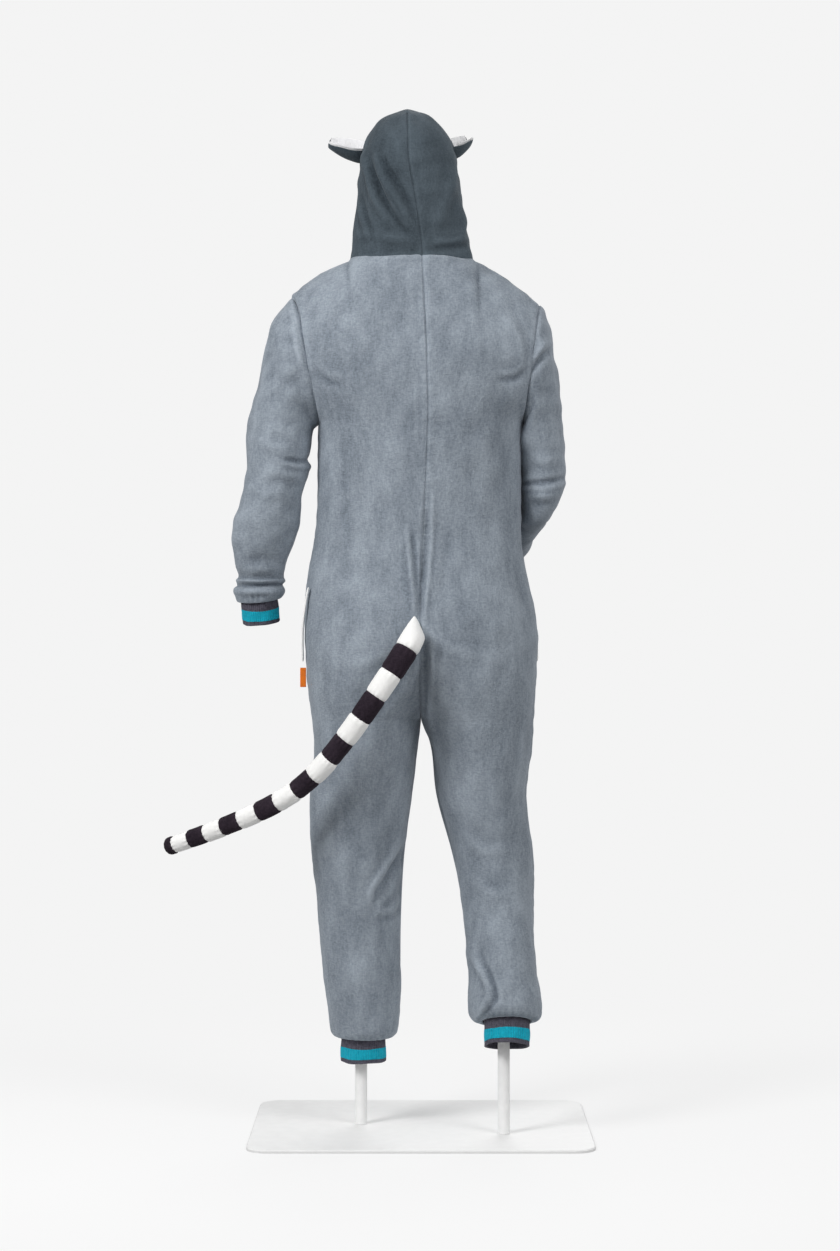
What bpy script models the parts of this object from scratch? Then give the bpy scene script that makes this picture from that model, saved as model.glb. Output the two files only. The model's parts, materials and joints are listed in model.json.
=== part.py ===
"""Hooded lemur costume: an empty fleece jumpsuit in its worn shape, held by a plain display stand.

The costume faces +Y, so its back faces -Y. +X is its right side and +Z is up. The origin is the centre of
the underside of the stand's base. Every cloth piece is a wall of its own along the real sewing seams.
"""

import math

import bpy
import numpy as np

LEFT, RIGHT = -1, 1
FRONT, BACK = 1, -1

WALL = 0.005
SEAM_GAP = 0.0006
SLEEVE_GAP = 0.0014
SLEEVE_RAISE = 0.001
ARC_STEPS = 7
TUBE_SIDES = 2 * ARC_STEPS
LEG_ROWS = 11

HIP_Z = 1.02
CROTCH_Z = 0.755
CROTCH_SHARPNESS = 2.2
ARMPIT_Z = 1.300
SHOULDER_TIP_Z = {LEFT: 1.533, RIGHT: 1.520}
SHOULDER_TIP_X = {LEFT: 0.240, RIGHT: 0.222}
SHOULDER_CROWN = {LEFT: 0.009, RIGHT: 0.003}
ARMPIT_X = 0.187
ARMHOLE_DEPTH = 0.084
NECK_HALF_WIDTH = {LEFT: 0.131, RIGHT: 0.098}
NECK_DEPTH = {FRONT: 0.095, BACK: 0.092}
NECK_SIDE_Z = 1.600
NECK_CENTRE_Z = {FRONT: 1.592, BACK: 1.604}
ZIP_HALF_WIDTH = 0.0045
ZIP_BOTTOM_Z = 0.80
ZIP_STOP = 0.024
ZIP_GAP_FADE = 0.02
ZIP_TOP_Z = 1.575
ZIP_ROWS = 14
ZIP_SLIDER_Z = 1.545
ZIP_EASE = 0.0008
CHAIN_THICKNESS = 0.0035
CHAIN_SUNK = 0.85
SLIDER_DROPS = (0.0, 0.007, 0.014)
SLIDER_LIFT = 0.0015
SLIDER_HALF_WIDTH = 0.0045
SLIDER_THICKNESS = 0.003
PULL_DROPS = (0.004, 0.018, 0.034)
PULL_LIFT = 0.0052
PULL_HALF_WIDTH = 0.003
PULL_THICKNESS = 0.002

# Torso sections: height, width left and right of the middle, front depth, back depth.
TORSO = [
    (CROTCH_Z, 0.201, 0.205, 0.116, 0.118),
    (0.83, 0.213, 0.212, 0.131, 0.138),
    (0.91, 0.219, 0.214, 0.143, 0.145),
    (0.97, 0.217, 0.206, 0.150, 0.139),
    (HIP_Z, 0.211, 0.194, 0.152, 0.128),
    (1.09, 0.199, 0.183, 0.148, 0.118),
    (1.18, 0.192, 0.184, 0.144, 0.116),
    (ARMPIT_Z, 0.188, 0.187, 0.140, 0.124),
    (1.41, 0.195, 0.195, 0.132, 0.129),
]

# The back's middle seam: height, how far it strays to the right.
BACK_SEAM = [
    (CROTCH_Z, 0.000),
    (0.86, -0.001),
    (0.97, -0.001),
    (1.07, 0.002),
    (1.20, 0.009),
    (1.33, 0.013),
    (1.45, 0.009),
    (NECK_CENTRE_Z[BACK], 0.002),
]

# Leg sections from the crotch to the hem, which turns in over the cuff:
# height, centre x away from the middle, centre y, half width, half depth, forward tilt of the section.
LEG = {
    LEFT: [
        (0.700, 0.1025, 0.000, 0.0965, 0.111, 0.0),
        (0.620, 0.1112, 0.004, 0.0945, 0.104, 0.0),
        (0.500, 0.1163, 0.009, 0.0850, 0.095, 0.0),
        (0.380, 0.1145, 0.007, 0.0772, 0.086, 0.0),
        (0.270, 0.1092, 0.002, 0.0710, 0.078, 0.0),
        (0.208, 0.1066, 0.000, 0.0655, 0.071, 0.0),
        (0.182, 0.1065, 0.000, 0.0628, 0.067, 0.0),
        (0.171, 0.1065, 0.000, 0.0562, 0.058, 0.0),
        (0.167, 0.1065, 0.000, 0.0470, 0.048, 0.0),
    ],
    RIGHT: [
        (0.700, 0.1103, 0.000, 0.0912, 0.111, 0.0),
        (0.610, 0.1110, 0.005, 0.0820, 0.103, 0.0),
        (0.500, 0.1305, 0.010, 0.0715, 0.095, -0.03),
        (0.400, 0.1438, -0.008, 0.0635, 0.086, -0.16),
        (0.300, 0.1505, -0.045, 0.0615, 0.078, -0.28),
        (0.248, 0.1535, -0.068, 0.0650, 0.073, -0.32),
        (0.224, 0.1545, -0.078, 0.0650, 0.070, -0.33),
        (0.212, 0.1560, -0.082, 0.0590, 0.062, -0.33),
        (0.208, 0.1560, -0.084, 0.0475, 0.049, -0.33),
    ],
}

# Sleeve sections from the shoulder to the hem: centre, half width along x and z, half depth,
# and the angle that turns the depth from forward (0) to up (90) as the arm bends.
SLEEVE = {
    LEFT: [
        ((-0.236, 0.000, 1.391), (-0.036, 0.098), 0.082, 0),
        ((-0.249, 0.000, 1.338), (-0.044, 0.073), 0.077, 0),
        ((-0.259, -0.003, 1.284), (-0.052, 0.048), 0.071, 0),
        ((-0.267, -0.006, 1.229), (-0.056, 0.024), 0.066, 0),
        ((-0.276, -0.004, 1.172), (-0.057, 0.004), 0.062, 2),
        ((-0.286, 0.005, 1.112), (-0.061, -0.003), 0.060, 6),
        ((-0.293, 0.016, 1.064), (-0.053, -0.005), 0.053, 9),
        ((-0.296, 0.026, 1.026), (-0.042, -0.005), 0.045, 10),
        ((-0.300, 0.033, 1.002), (-0.0475, -0.004), 0.049, 10),
        ((-0.300, 0.036, 0.984), (-0.044, -0.003), 0.045, 10),
        ((-0.301, 0.037, 0.977), (-0.0405, -0.003), 0.0415, 10),
    ],
    RIGHT: [
        ((0.218, 0.004, 1.382), (0.021, 0.090), 0.081, 0),
        ((0.221, 0.014, 1.332), (0.031, 0.064), 0.077, 0),
        ((0.224, 0.025, 1.280), (0.039, 0.036), 0.071, 1),
        ((0.227, 0.030, 1.228), (0.042, 0.018), 0.066, 4),
        ((0.227, 0.032, 1.185), (0.041, 0.014), 0.061, 14),
        ((0.223, 0.040, 1.160), (0.038, 0.016), 0.056, 34),
        ((0.213, 0.068, 1.146), (0.036, 0.014), 0.050, 56),
        ((0.198, 0.108, 1.128), (0.036, 0.010), 0.046, 68),
        ((0.181, 0.149, 1.108), (0.038, 0.006), 0.044, 73),
        ((0.169, 0.186, 1.090), (0.043, 0.004), 0.045, 75),
        ((0.164, 0.203, 1.085), (0.042, 0.003), 0.044, 75),
        ((0.162, 0.210, 1.083), (0.0405, 0.003), 0.0415, 75),
    ],
}

# Hood sections from the neck to its widest height: height, seam x, left x, right x, back depth, front depth.
HOOD = [
    (1.606, 0.003, -0.131, 0.098, 0.092, 0.095),
    (1.640, -0.001, -0.125, 0.089, 0.101, 0.103),
    (1.690, -0.008, -0.118, 0.082, 0.114, 0.113),
    (1.735, -0.016, -0.117, 0.0785, 0.120, 0.119),
    (1.769, -0.022, -0.116, 0.070, 0.126, 0.124),
]
HOOD_TOP_Z = 1.880
HOOD_DOME_POWER = 0.62
HOOD_SEAM_STRAY = 0.003
HOOD_STEPS = 9
HOOD_MOUTH_ROWS = 11
HOOD_DOME_ROWS = 5
HOOD_RIDGE_SHARE = 0.75
HOOD_RIDGE_FALL = 0.012
FACE_Z = 1.712
FACE_HALF_HEIGHT = 0.100
FACE_HALF_WIDTH = 0.074
FACE_X = -0.022
BAND_WIDTH = 0.014
BAND_THICKNESS = 0.009
BAND_CLEARANCE = 0.003
BAND_STEPS = 24
BAND_SIDES = 6
BAND_SUNK = 0.4

FACE_MIDDLE_X = -0.024
EYE_SPACING = 0.031
EYE_Z = 1.838
NOSE_Z = 1.823
SPOT_SIDES = 12
SPOT_CLEARANCE = 0.002
PATCH_HALF_SIZE = (0.019, 0.013)
PATCH_THICKNESS = 0.003
EYE_HALF_SIZE = (0.008, 0.008)
EYE_THICKNESS = 0.004
NOSE_HALF_SIZE = (0.008, 0.006)
NOSE_THICKNESS = 0.006

CUFF_WALL = 0.0035
CUFF_STRIPE_DEPTH = 0.0012
CUFF_LENGTH = {"ankle": 0.050, "wrist": 0.050}
CUFF_OVERLAP = 0.006
CUFF_INSET = WALL + 0.0008
STRIPE_FROM, STRIPE_TO = 0.45, 0.85

TAIL_ROUTE = [
    (-0.009, -0.152, 0.920),
    (-0.027, -0.174, 0.884),
    (-0.083, -0.180, 0.799),
    (-0.138, -0.171, 0.722),
    (-0.195, -0.155, 0.657),
    (-0.260, -0.134, 0.609),
    (-0.358, -0.095, 0.563),
    (-0.467, -0.045, 0.521),
]
TAIL_BANDS = 16
TAIL_ROOT_RADIUS = 0.0222
TAIL_TIP_RADIUS = 0.0158
FIRST_BAND, LONGEST_BAND, SHORTEST_BAND, TIP_BAND = 0.0445, 0.0508, 0.0342, 0.0195
TAIL_SIDES = 9
TAIL_PINCH = 0.93
TAIL_TIP_CLOSING = 0.45
TAIL_SEAT_GAP = 0.0008
TAIL_ROOT_MIDDLE = (-0.0035, 0.0, 0.9233)
TAIL_ROOT_LEAN = 0.39
TAIL_ROOT_HALF_LENGTH = 0.0233
TAIL_ROOT_HALF_WIDTH = 0.004

# Each ear: centre, the way it points, the way it faces, length, half width.
EAR_THICKNESS = 0.004
EARS = {
    "left": ((-0.1410, 0.006, 1.8180), (-1.0, 0.05, 0.17), (0.05, -0.46, 0.89), 0.060, 0.029),
    "right": ((0.0680, 0.014, 1.8240), (0.72, 0.55, 0.36), (-0.44, -0.60, 0.76), 0.060, 0.029),
}
EAR_LINING_THICKNESS = 0.003
EAR_LINING_SHARE = 0.94
EAR_LINING_GAP = 0.0018
EAR_CUP = 0.030
EAR_CLEARANCE = 0.001
EAR_TIP_FLATNESS = 0.6
EAR_TAPER = 1.5
EAR_BASE = 0.35
EAR_ROUNDING = 0.96
EAR_ROWS = 6

WELT_HALF_WIDTH = 0.006
WELT_THICKNESS = 0.003
WELT_CLEARANCE = 0.0022
WELT_BOTTOM_Z, WELT_TOP_Z = 0.862, 0.998
WELT_LOW_ANGLE = {LEFT: 0.16, RIGHT: -0.12}
WELT_HIGH_ANGLE = {LEFT: 0.32, RIGHT: -0.28}
WELT_ROWS = 7
TAB_TOP_Z, TAB_BOTTOM_Z = 0.850, 0.814
TAB_CLEARANCE = 0.001
TAB_WIDTH = 0.008
TAB_THICKNESS = 0.002

BASE_SIZE = (0.62, 0.48, 0.006)
BASE_CORNER = 0.04
BASE_CORNER_STEPS = 5
ROD_RADIUS = 0.011
ROD_FOOT_SHIFT = {LEFT: 0.0, RIGHT: -0.045}
ROD_HEAD_SHIFT = {LEFT: 0.0, RIGHT: -0.018}
SPREADER_Z = 0.30
SPREADER_THICKNESS = 0.008
SPREADER_CLEARANCE = 0.0006


def clear_scene():
    for obj in list(bpy.data.objects):
        bpy.data.objects.remove(obj, do_unlink=True)


def make_material(name, colour, roughness, metallic=0.0):
    material = bpy.data.materials.new(name)
    material.use_nodes = True
    shader = material.node_tree.nodes["Principled BSDF"]
    shader.inputs["Base Color"].default_value = (*colour, 1.0)
    shader.inputs["Roughness"].default_value = roughness
    shader.inputs["Metallic"].default_value = metallic
    return material


def smooth_rows(stations, rows):
    """The station table read at more rows, along a smooth curve through every station."""
    table = np.array(stations, float)
    before = table[0] * 2 - table[1]
    after = table[-1] * 2 - table[-2]
    padded = np.vstack([before, table, after])
    result = []
    for position in np.linspace(0, len(table) - 1, rows):
        index = min(int(position), len(table) - 2)
        t = position - index
        a, b, c, d = padded[index : index + 4]
        curve = 2 * b + (c - a) * t + (2 * a - 5 * b + 4 * c - d) * t**2 + (3 * b - a - 3 * c + d) * t**3
        result.append(curve / 2)
    return np.array(result)


def at_height(stations, height):
    """One row of a station table whose first column is the height, read smoothly at one height."""
    table = np.array(stations, float)
    rows = smooth_rows(table, 40 * len(table))
    if rows[0, 0] > rows[-1, 0]:
        rows = rows[::-1]
    return np.array([np.interp(height, rows[:, 0], column) for column in rows.T])


def grid_faces(rows, columns, around):
    """Quads of a grid of points, which may close on itself along its columns."""
    faces = []
    for row in range(rows - 1):
        for column in range(columns if around else columns - 1):
            following = (column + 1) % columns
            faces.append(
                (
                    row * columns + column,
                    row * columns + following,
                    (row + 1) * columns + following,
                    (row + 1) * columns + column,
                )
            )
    return faces


def signed_volume(points, faces):
    total = 0.0
    for face in faces:
        first = points[face[0]]
        for second, third in zip(face[1:-1], face[2:]):
            total += np.dot(first, np.cross(points[second], points[third]))
    return total


def add_solid(name, points, faces, material, smooth=True):
    """A mesh object from points and faces, turned so that its faces point out."""
    points = np.asarray(points, float)
    if signed_volume(points, faces) < 0:
        faces = [tuple(reversed(face)) for face in faces]
    mesh = bpy.data.meshes.new(name)
    mesh.from_pydata([tuple(point) for point in points], [], faces)
    mesh.materials.append(material)
    if smooth:
        mesh.shade_smooth()
        mesh.set_sharp_from_angle(angle=math.radians(50))
    obj = bpy.data.objects.new(name, mesh)
    bpy.context.scene.collection.objects.link(obj)
    return obj


def add_wall(name, outer, inner, material, around=False):
    """A closed wall between an outer and an inner grid of points."""
    rows, columns = outer.shape[:2]
    count = rows * columns
    faces = grid_faces(rows, columns, around)
    faces += [tuple(index + count for index in reversed(face)) for face in faces]
    steps = columns if around else columns - 1
    for column in range(steps):
        following = (column + 1) % columns
        last = (rows - 1) * columns
        faces.append((following, column, column + count, following + count))
        faces.append((last + column, last + following, last + following + count, last + column + count))
    if not around:
        for row in range(rows - 1):
            low, high = row * columns, (row + 1) * columns
            faces.append((low, high, high + count, low + count))
            low, high = low + columns - 1, high + columns - 1
            faces.append((high, low, low + count, high + count))
    points = np.vstack([outer.reshape(-1, 3), inner.reshape(-1, 3)])
    return add_solid(name, points, faces, material)


def add_loft(name, rings, material, smooth=True):
    """A closed solid through rings of points, with flat or fanned ends."""
    rings = np.asarray(rings, float)
    rows, columns = rings.shape[:2]
    faces = grid_faces(rows, columns, True)
    faces.append(tuple(range(columns - 1, -1, -1)))
    last = (rows - 1) * columns
    faces.append(tuple(last + column for column in range(columns)))
    return add_solid(name, rings.reshape(-1, 3), faces, material, smooth)


def torso_section(side, height, inset):
    """Centre x, half width, front depth and back depth of one half of the body above the crotch."""
    _, left_width, right_width, front, back = at_height(TORSO, height)
    half_width = left_width if side == LEFT else right_width
    fall = np.clip((HIP_Z - height) / (HIP_Z - CROTCH_Z), 0.0, 1.0) ** CROTCH_SHARPNESS
    centre = half_width * fall / (1 + fall)
    return centre, half_width - centre - inset, front - inset, back - inset


def torso_row(side, face, height, inset, middle_gap):
    """Half of a level section, from the side seam to the middle seam."""
    centre, width, front, back = torso_section(side, height, inset)
    depth = front if face == FRONT else back
    end = math.acos(np.clip((middle_gap - centre) / width, -1.0, 1.0))
    angles = np.linspace(0.0, end, ARC_STEPS + 1)
    x = np.maximum(centre + width * np.cos(angles), middle_gap)
    y = np.maximum(depth * np.sin(angles), SEAM_GAP / 2)
    return np.stack([side * x, face * y, np.full_like(x, height)], axis=1)


def leg_row(side, face, station, inset):
    """Half of a leg section, from the outer seam to the inseam."""
    height, centre_x, centre_y, width, depth, tilt = station
    angles = np.linspace(0.0, math.pi, ARC_STEPS + 1)
    x = side * (centre_x + (width - inset) * np.cos(angles))
    y = face * np.maximum((depth - inset) * np.sin(angles), SEAM_GAP / 2)
    return np.stack([x, centre_y + y, height + tilt * y], axis=1)


def middle_gap_at(face, height):
    """Half the gap at the middle: the zip's width in front, and a seam elsewhere."""
    if face == BACK:
        return SEAM_GAP / 2
    opened = np.clip((height - ZIP_BOTTOM_Z) / ZIP_GAP_FADE, 0.0, 1.0)
    return SEAM_GAP / 2 + (ZIP_HALF_WIDTH - SEAM_GAP / 2) * opened


def armhole_middle(side):
    return (ARMPIT_Z + SHOULDER_TIP_Z[side]) / 2


def armhole_x(side, height):
    share = (height - ARMPIT_Z) / (SHOULDER_TIP_Z[side] - ARMPIT_Z)
    return ARMPIT_X + (SHOULDER_TIP_X[side] - ARMPIT_X) * share


def armhole_row(side, face, turn, inset):
    """A level row across the lower half of the armhole. turn runs from 0 at the armpit to 1 at mid height."""
    middle = armhole_middle(side)
    height = middle - (middle - ARMPIT_Z) * math.cos(turn * math.pi / 2)
    _, _, _, front, back = at_height(TORSO, height)
    depth = (front if face == FRONT else back) - inset
    edge = (ARMHOLE_DEPTH - inset) * math.sin(turn * math.pi / 2)
    gap = middle_gap_at(face, height)
    first = math.asin(edge / depth)
    angles = np.linspace(first, math.pi / 2, ARC_STEPS + 1)
    reach = (armhole_x(side, height) - inset * (1 - turn)) / math.cos(first)
    x = np.maximum(reach * np.cos(angles), gap)
    y = np.maximum(depth * np.sin(angles), SEAM_GAP / 2)
    return np.stack([side * x, face * y, np.full_like(x, height)], axis=1)


def yoke_row(side, face, turn, inset):
    """A row over the shoulder, from mid armhole (0) to the shoulder seam and the neckline (1)."""
    lower = armhole_row(side, face, 1.0, inset)
    x = np.abs(lower[:, 0])
    middle = armhole_middle(side)
    neck = NECK_HALF_WIDTH[side]
    tip_x, tip_z = SHOULDER_TIP_X[side], SHOULDER_TIP_Z[side]
    grown = x / x[0] * (x[0] + (tip_x - x[0]) * turn)
    grown = np.maximum(grown, middle_gap_at(face, middle))
    along = np.clip((tip_x - grown) / (tip_x - neck), 0.0, 1.0)
    on_neck = np.clip(grown / neck, 0.0, 1.0)
    centre_z = NECK_CENTRE_Z[face]
    end_y = (NECK_DEPTH[face] - inset * 0.4) * np.sqrt(1 - on_neck**2)
    end_z = tip_z + (NECK_SIDE_Z - tip_z) * along + (centre_z - NECK_SIDE_Z) * (1 - on_neck)
    end_z = end_z + SHOULDER_CROWN[side] * np.sin(math.pi * along)
    end_z = end_z - inset * (grown > neck)
    straight = 0.8 * (1 - on_neck)
    rise = (1 - straight) * math.sin(turn * math.pi / 2) + straight * turn
    keep = (1 - straight) * math.cos(turn * math.pi / 2) + straight * (1 - turn)
    y = end_y + (np.abs(lower[:, 1]) - end_y) * keep
    z = middle + (end_z - middle) * rise
    return np.stack([side * grown, face * np.maximum(y, SEAM_GAP / 2), z], axis=1)


def body_grid(side, face, inset):
    """All rows of one body panel, from the ankle hem to the shoulder and neck."""
    rows = [leg_row(side, face, station, inset) for station in smooth_rows(LEG[side], LEG_ROWS)[::-1]]
    for rise in np.linspace(0.0, 1.0, 7) ** 2:
        height = CROTCH_Z + (HIP_Z - CROTCH_Z) * rise
        rows.append(torso_row(side, face, height, inset, middle_gap_at(face, height)))
    for height in np.linspace(HIP_Z, ARMPIT_Z, 5)[1:-1]:
        rows.append(torso_row(side, face, height, inset, middle_gap_at(face, height)))
    rows += [armhole_row(side, face, turn, inset) for turn in np.linspace(0.0, 1.0, 4)]
    rows += [yoke_row(side, face, turn, inset) for turn in np.linspace(0.0, 1.0, 5)[1:]]
    rows = np.array(rows)
    if face == BACK:
        rows[LEG_ROWS:] = [seam_shifted(row) for row in rows[LEG_ROWS:]]
    return rows


def seam_shifted(row):
    """The row with its middle moved sideways to the back's middle seam, and its outer edge left in place."""
    shift = at_height(BACK_SEAM, row[-1, 2])[1]
    reach = np.abs(row[:, 0])
    moved = row.copy()
    moved[:, 0] += shift * (1 - reach / reach.max())
    return moved


def make_body(fleece):
    for side, name in ((LEFT, "left"), (RIGHT, "right")):
        for face, word in ((FRONT, "front"), (BACK, "back")):
            outer = body_grid(side, face, 0.0)
            inner = body_grid(side, face, WALL)
            add_wall(f"{word}_panel_{name}", outer, inner, fleece)


def armhole_ring(side, inset, angles):
    """The sleeve's first ring, just outside the armhole seam."""
    middle = armhole_middle(side)
    z = middle + (SHOULDER_TIP_Z[side] - middle - inset) * np.cos(angles) + SLEEVE_RAISE
    y = (ARMHOLE_DEPTH - inset) * np.sin(angles)
    return np.stack([side * (armhole_x(side, z) + SLEEVE_GAP), y, z], axis=1)


def sleeve_ring(side, station, inset, angles):
    centre_x, centre_y, centre_z, width_x, width_z, depth, bend = station
    width = np.array([width_x, 0.0, width_z])
    shrink = 1 - inset / np.linalg.norm(width)
    bend = math.radians(bend)
    depth_axis = np.array([0.0, math.cos(bend), math.sin(bend)]) * (depth - inset)
    centre = np.array([centre_x, centre_y, centre_z])
    return centre + np.outer(np.cos(angles), width * shrink) + np.outer(np.sin(angles), depth_axis)


def sleeve_stations(side):
    return [(*centre, *width, depth, bend) for centre, width, depth, bend in SLEEVE[side]]


def make_sleeve(side, name, fleece):
    angles = np.linspace(0.0, 2 * math.pi, TUBE_SIDES, endpoint=False)
    walls = []
    for inset in (0.0, WALL):
        rings = [armhole_ring(side, inset, angles)]
        rings += [sleeve_ring(side, row, inset, angles) for row in sleeve_stations(side)]
        walls.append(np.array(rings))
    add_wall(name, walls[0], walls[1], fleece, around=True)


def hood_section(height):
    """Seam x, left x, right x, back depth and front depth of the hood at a height."""
    if height <= HOOD[-1][0]:
        return at_height(HOOD, height)[1:]
    _, seam, left, right, back, front = HOOD[-1]
    rise = (height - HOOD[-1][0]) / (HOOD_TOP_Z - HOOD[-1][0])
    narrow = max(0.0, 1 - rise**2) ** HOOD_DOME_POWER
    shallow = math.sqrt(1 - HOOD_RIDGE_SHARE * rise**2)
    seam -= HOOD_SEAM_STRAY * rise
    left = seam + (left - seam) * narrow
    right = seam + (right - seam) * narrow
    return seam, left, right, back * shallow, front * shallow


def face_half_width(height):
    share = 1 - ((height - FACE_Z) / FACE_HALF_HEIGHT) ** 2
    return FACE_HALF_WIDTH * math.sqrt(max(0.0, share))


def hood_row(side, height, inset):
    """A level row of one hood half, from the seam at the back to the face opening or the seam in front."""
    seam, left, right, back, front = hood_section(height)
    edge = left if side == LEFT else right
    width = max(abs(edge - seam) - inset, SEAM_GAP)
    opening = face_half_width(height) if height > FACE_Z - FACE_HALF_HEIGHT else 0.0
    reach = opening + side * (FACE_X - seam) * (1 if opening > 0 else 0)
    reach = max(reach, SEAM_GAP / 2)
    end = math.pi - math.asin(np.clip(reach / width, 0.0, 0.98))
    angles = np.linspace(0.0, end, HOOD_STEPS + 1)
    depth = np.where(angles < math.pi / 2, back - inset, front - inset)
    x = np.maximum(width * np.sin(angles), SEAM_GAP / 2)
    y = -depth * np.cos(angles)
    rise = np.clip((height - HOOD[-1][0]) / (HOOD_TOP_Z - HOOD[-1][0]), 0.0, 1.0)
    z = height - HOOD_RIDGE_FALL * rise**2 * (y / back) ** 2
    if height > HOOD[-1][0]:
        z = z - inset * rise**2
    return np.stack([seam + side * x, y, z], axis=1)


def hood_heights():
    bottom, top_edge = HOOD[0][0], FACE_Z + FACE_HALF_HEIGHT
    mouth = FACE_Z - FACE_HALF_HEIGHT * np.cos(np.linspace(0.08 * math.pi, math.pi, HOOD_MOUTH_ROWS))
    dome = top_edge + (HOOD_TOP_Z - top_edge) * np.sin(np.linspace(0.0, math.pi / 2, HOOD_DOME_ROWS))[1:]
    return [bottom, *mouth, *dome]


def make_hood(fleece):
    for side, name in ((LEFT, "hood_left"), (RIGHT, "hood_right")):
        outer = np.array([hood_row(side, height, 0.0) for height in hood_heights()])
        inner = np.array([hood_row(side, height, WALL) for height in hood_heights()])
        add_wall(name, outer, inner, fleece)


def hood_front_y(x, height):
    """How far forward the hood's surface lies at a place beside the face opening."""
    seam, left, right, _, front = hood_section(height)
    width = (x - seam) / ((left if x < seam else right) - seam)
    return front * math.sqrt(max(0.0, 1 - min(width, 1.0) ** 2))


def make_face_band(rib):
    """The knitted band round the face opening, as a closed ring."""
    rings = []
    opening = np.array([FACE_HALF_WIDTH, FACE_HALF_HEIGHT]) - BAND_CLEARANCE
    for angle in np.linspace(0.0, 2 * math.pi, BAND_STEPS, endpoint=False):
        out = np.array([math.sin(angle), -math.cos(angle)])
        edge = np.array([FACE_X, FACE_Z]) + out * opening
        middle = edge - out * BAND_WIDTH / 2
        front = hood_front_y(middle[0], middle[1])
        ring = []
        for turn in np.linspace(0.0, 2 * math.pi, BAND_SIDES, endpoint=False):
            x, z = middle + out * math.cos(turn) * BAND_WIDTH / 2
            ring.append((x, front - BAND_THICKNESS * BAND_SUNK + math.sin(turn) * BAND_THICKNESS / 2, z))
        rings.append(ring)
    rings = np.array(rings)
    rows, columns = rings.shape[:2]
    rings = np.vstack([rings, rings[:1]])
    faces = grid_faces(rows + 1, columns, True)
    faces = [tuple(index % (rows * columns) for index in face) for face in faces]
    add_solid("face_band", rings[:-1].reshape(-1, 3), faces, rib)


def cuff_frames():
    """Each cuff's name, first centre, axis down the limb, its two half axes."""
    frames = {}
    for side, word in ((LEFT, "left"), (RIGHT, "right")):
        height, x, y, width, depth, tilt = LEG[side][-1]
        down = np.array([0.0, tilt, -1.0]) / math.hypot(tilt, 1.0)
        across = np.array([1.0, 0.0, 0.0]) * (width - CUFF_INSET)
        along = np.array([0.0, 1.0, tilt]) / math.hypot(1.0, tilt) * (depth - CUFF_INSET)
        top = np.array([side * x, y, height]) - down * CUFF_OVERLAP
        frames[f"ankle_cuff_{word}"] = (top, down, across, along)
        centre, half, depth, bend = SLEEVE[side][-1]
        bend = math.radians(bend)
        across = np.array([half[0], 0.0, half[1]])
        across *= 1 - CUFF_INSET / np.linalg.norm(across)
        along = np.array([0.0, math.cos(bend), math.sin(bend)]) * (depth - CUFF_INSET)
        down = np.cross(across, along)
        down /= np.linalg.norm(down)
        toward = np.array(SLEEVE[side][-2][0]) - np.array(SLEEVE[side][-4][0])
        down *= np.sign(np.dot(down, toward))
        frames[f"wrist_cuff_{word}"] = (np.array(centre) - down * CUFF_OVERLAP, down, across, along)
    return frames


def cuff_rings(frame, outline, angles):
    """Rings of a turned outline of (place along the cuff, distance in from its outside)."""
    centre, down, across, along = frame
    rings = []
    for place, inset in outline:
        wide = across * (1 - inset / np.linalg.norm(across))
        deep = along * (1 - inset / np.linalg.norm(along))
        middle = centre + down * place
        rings.append(middle + np.outer(np.cos(angles), wide) + np.outer(np.sin(angles), deep))
    return np.array(rings)


def make_cuff(name, frame, rib, teal):
    """A knitted tube with a channel round it, and the coloured band that fills the channel."""
    angles = np.linspace(0.0, 2 * math.pi, TUBE_SIDES, endpoint=False)
    length = CUFF_LENGTH[name.split("_")[0]]
    first, last = length * STRIPE_FROM, length * STRIPE_TO
    step = SEAM_GAP
    outer = [(0.0, 0.0), (first, 0.0), (first, CUFF_STRIPE_DEPTH), (last, CUFF_STRIPE_DEPTH), (last, 0.0)]
    outer.append((length, 0.0))
    inner = [(place, CUFF_WALL) for place, _ in outer]
    add_wall(name, cuff_rings(frame, outer, angles), cuff_rings(frame, inner, angles), rib, around=True)
    stripe_outer = [(first + step, 0.0), (last - step, 0.0)]
    stripe_inner = [(place, CUFF_STRIPE_DEPTH - step) for place, _ in stripe_outer]
    add_wall(
        name.replace("cuff", "stripe"),
        cuff_rings(frame, stripe_outer, angles),
        cuff_rings(frame, stripe_inner, angles),
        teal,
        around=True,
    )


def outside_hood(point, clearance):
    """The point, moved straight out from the hood's middle where it would lie inside the hood."""
    seam, left, right, back, front = hood_section(point[2])
    width = abs((left if point[0] < seam else right) - seam) + clearance
    depth = (back if point[1] < 0 else front) + clearance
    reach = math.hypot((point[0] - seam) / width, point[1] / depth)
    if reach >= 1:
        return point
    return np.array([seam + (point[0] - seam) / reach, point[1] / reach, point[2]])


def hood_push(leaf, facing):
    """The move that takes an ear's back and its lining clear of the hood together."""
    pushes = []
    for depth in (0.0, EAR_THICKNESS + EAR_LINING_GAP + EAR_LINING_THICKNESS):
        point = leaf + facing * depth
        pushes.append(outside_hood(point, EAR_CLEARANCE) - point)
    return max(pushes, key=np.linalg.norm)


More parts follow.
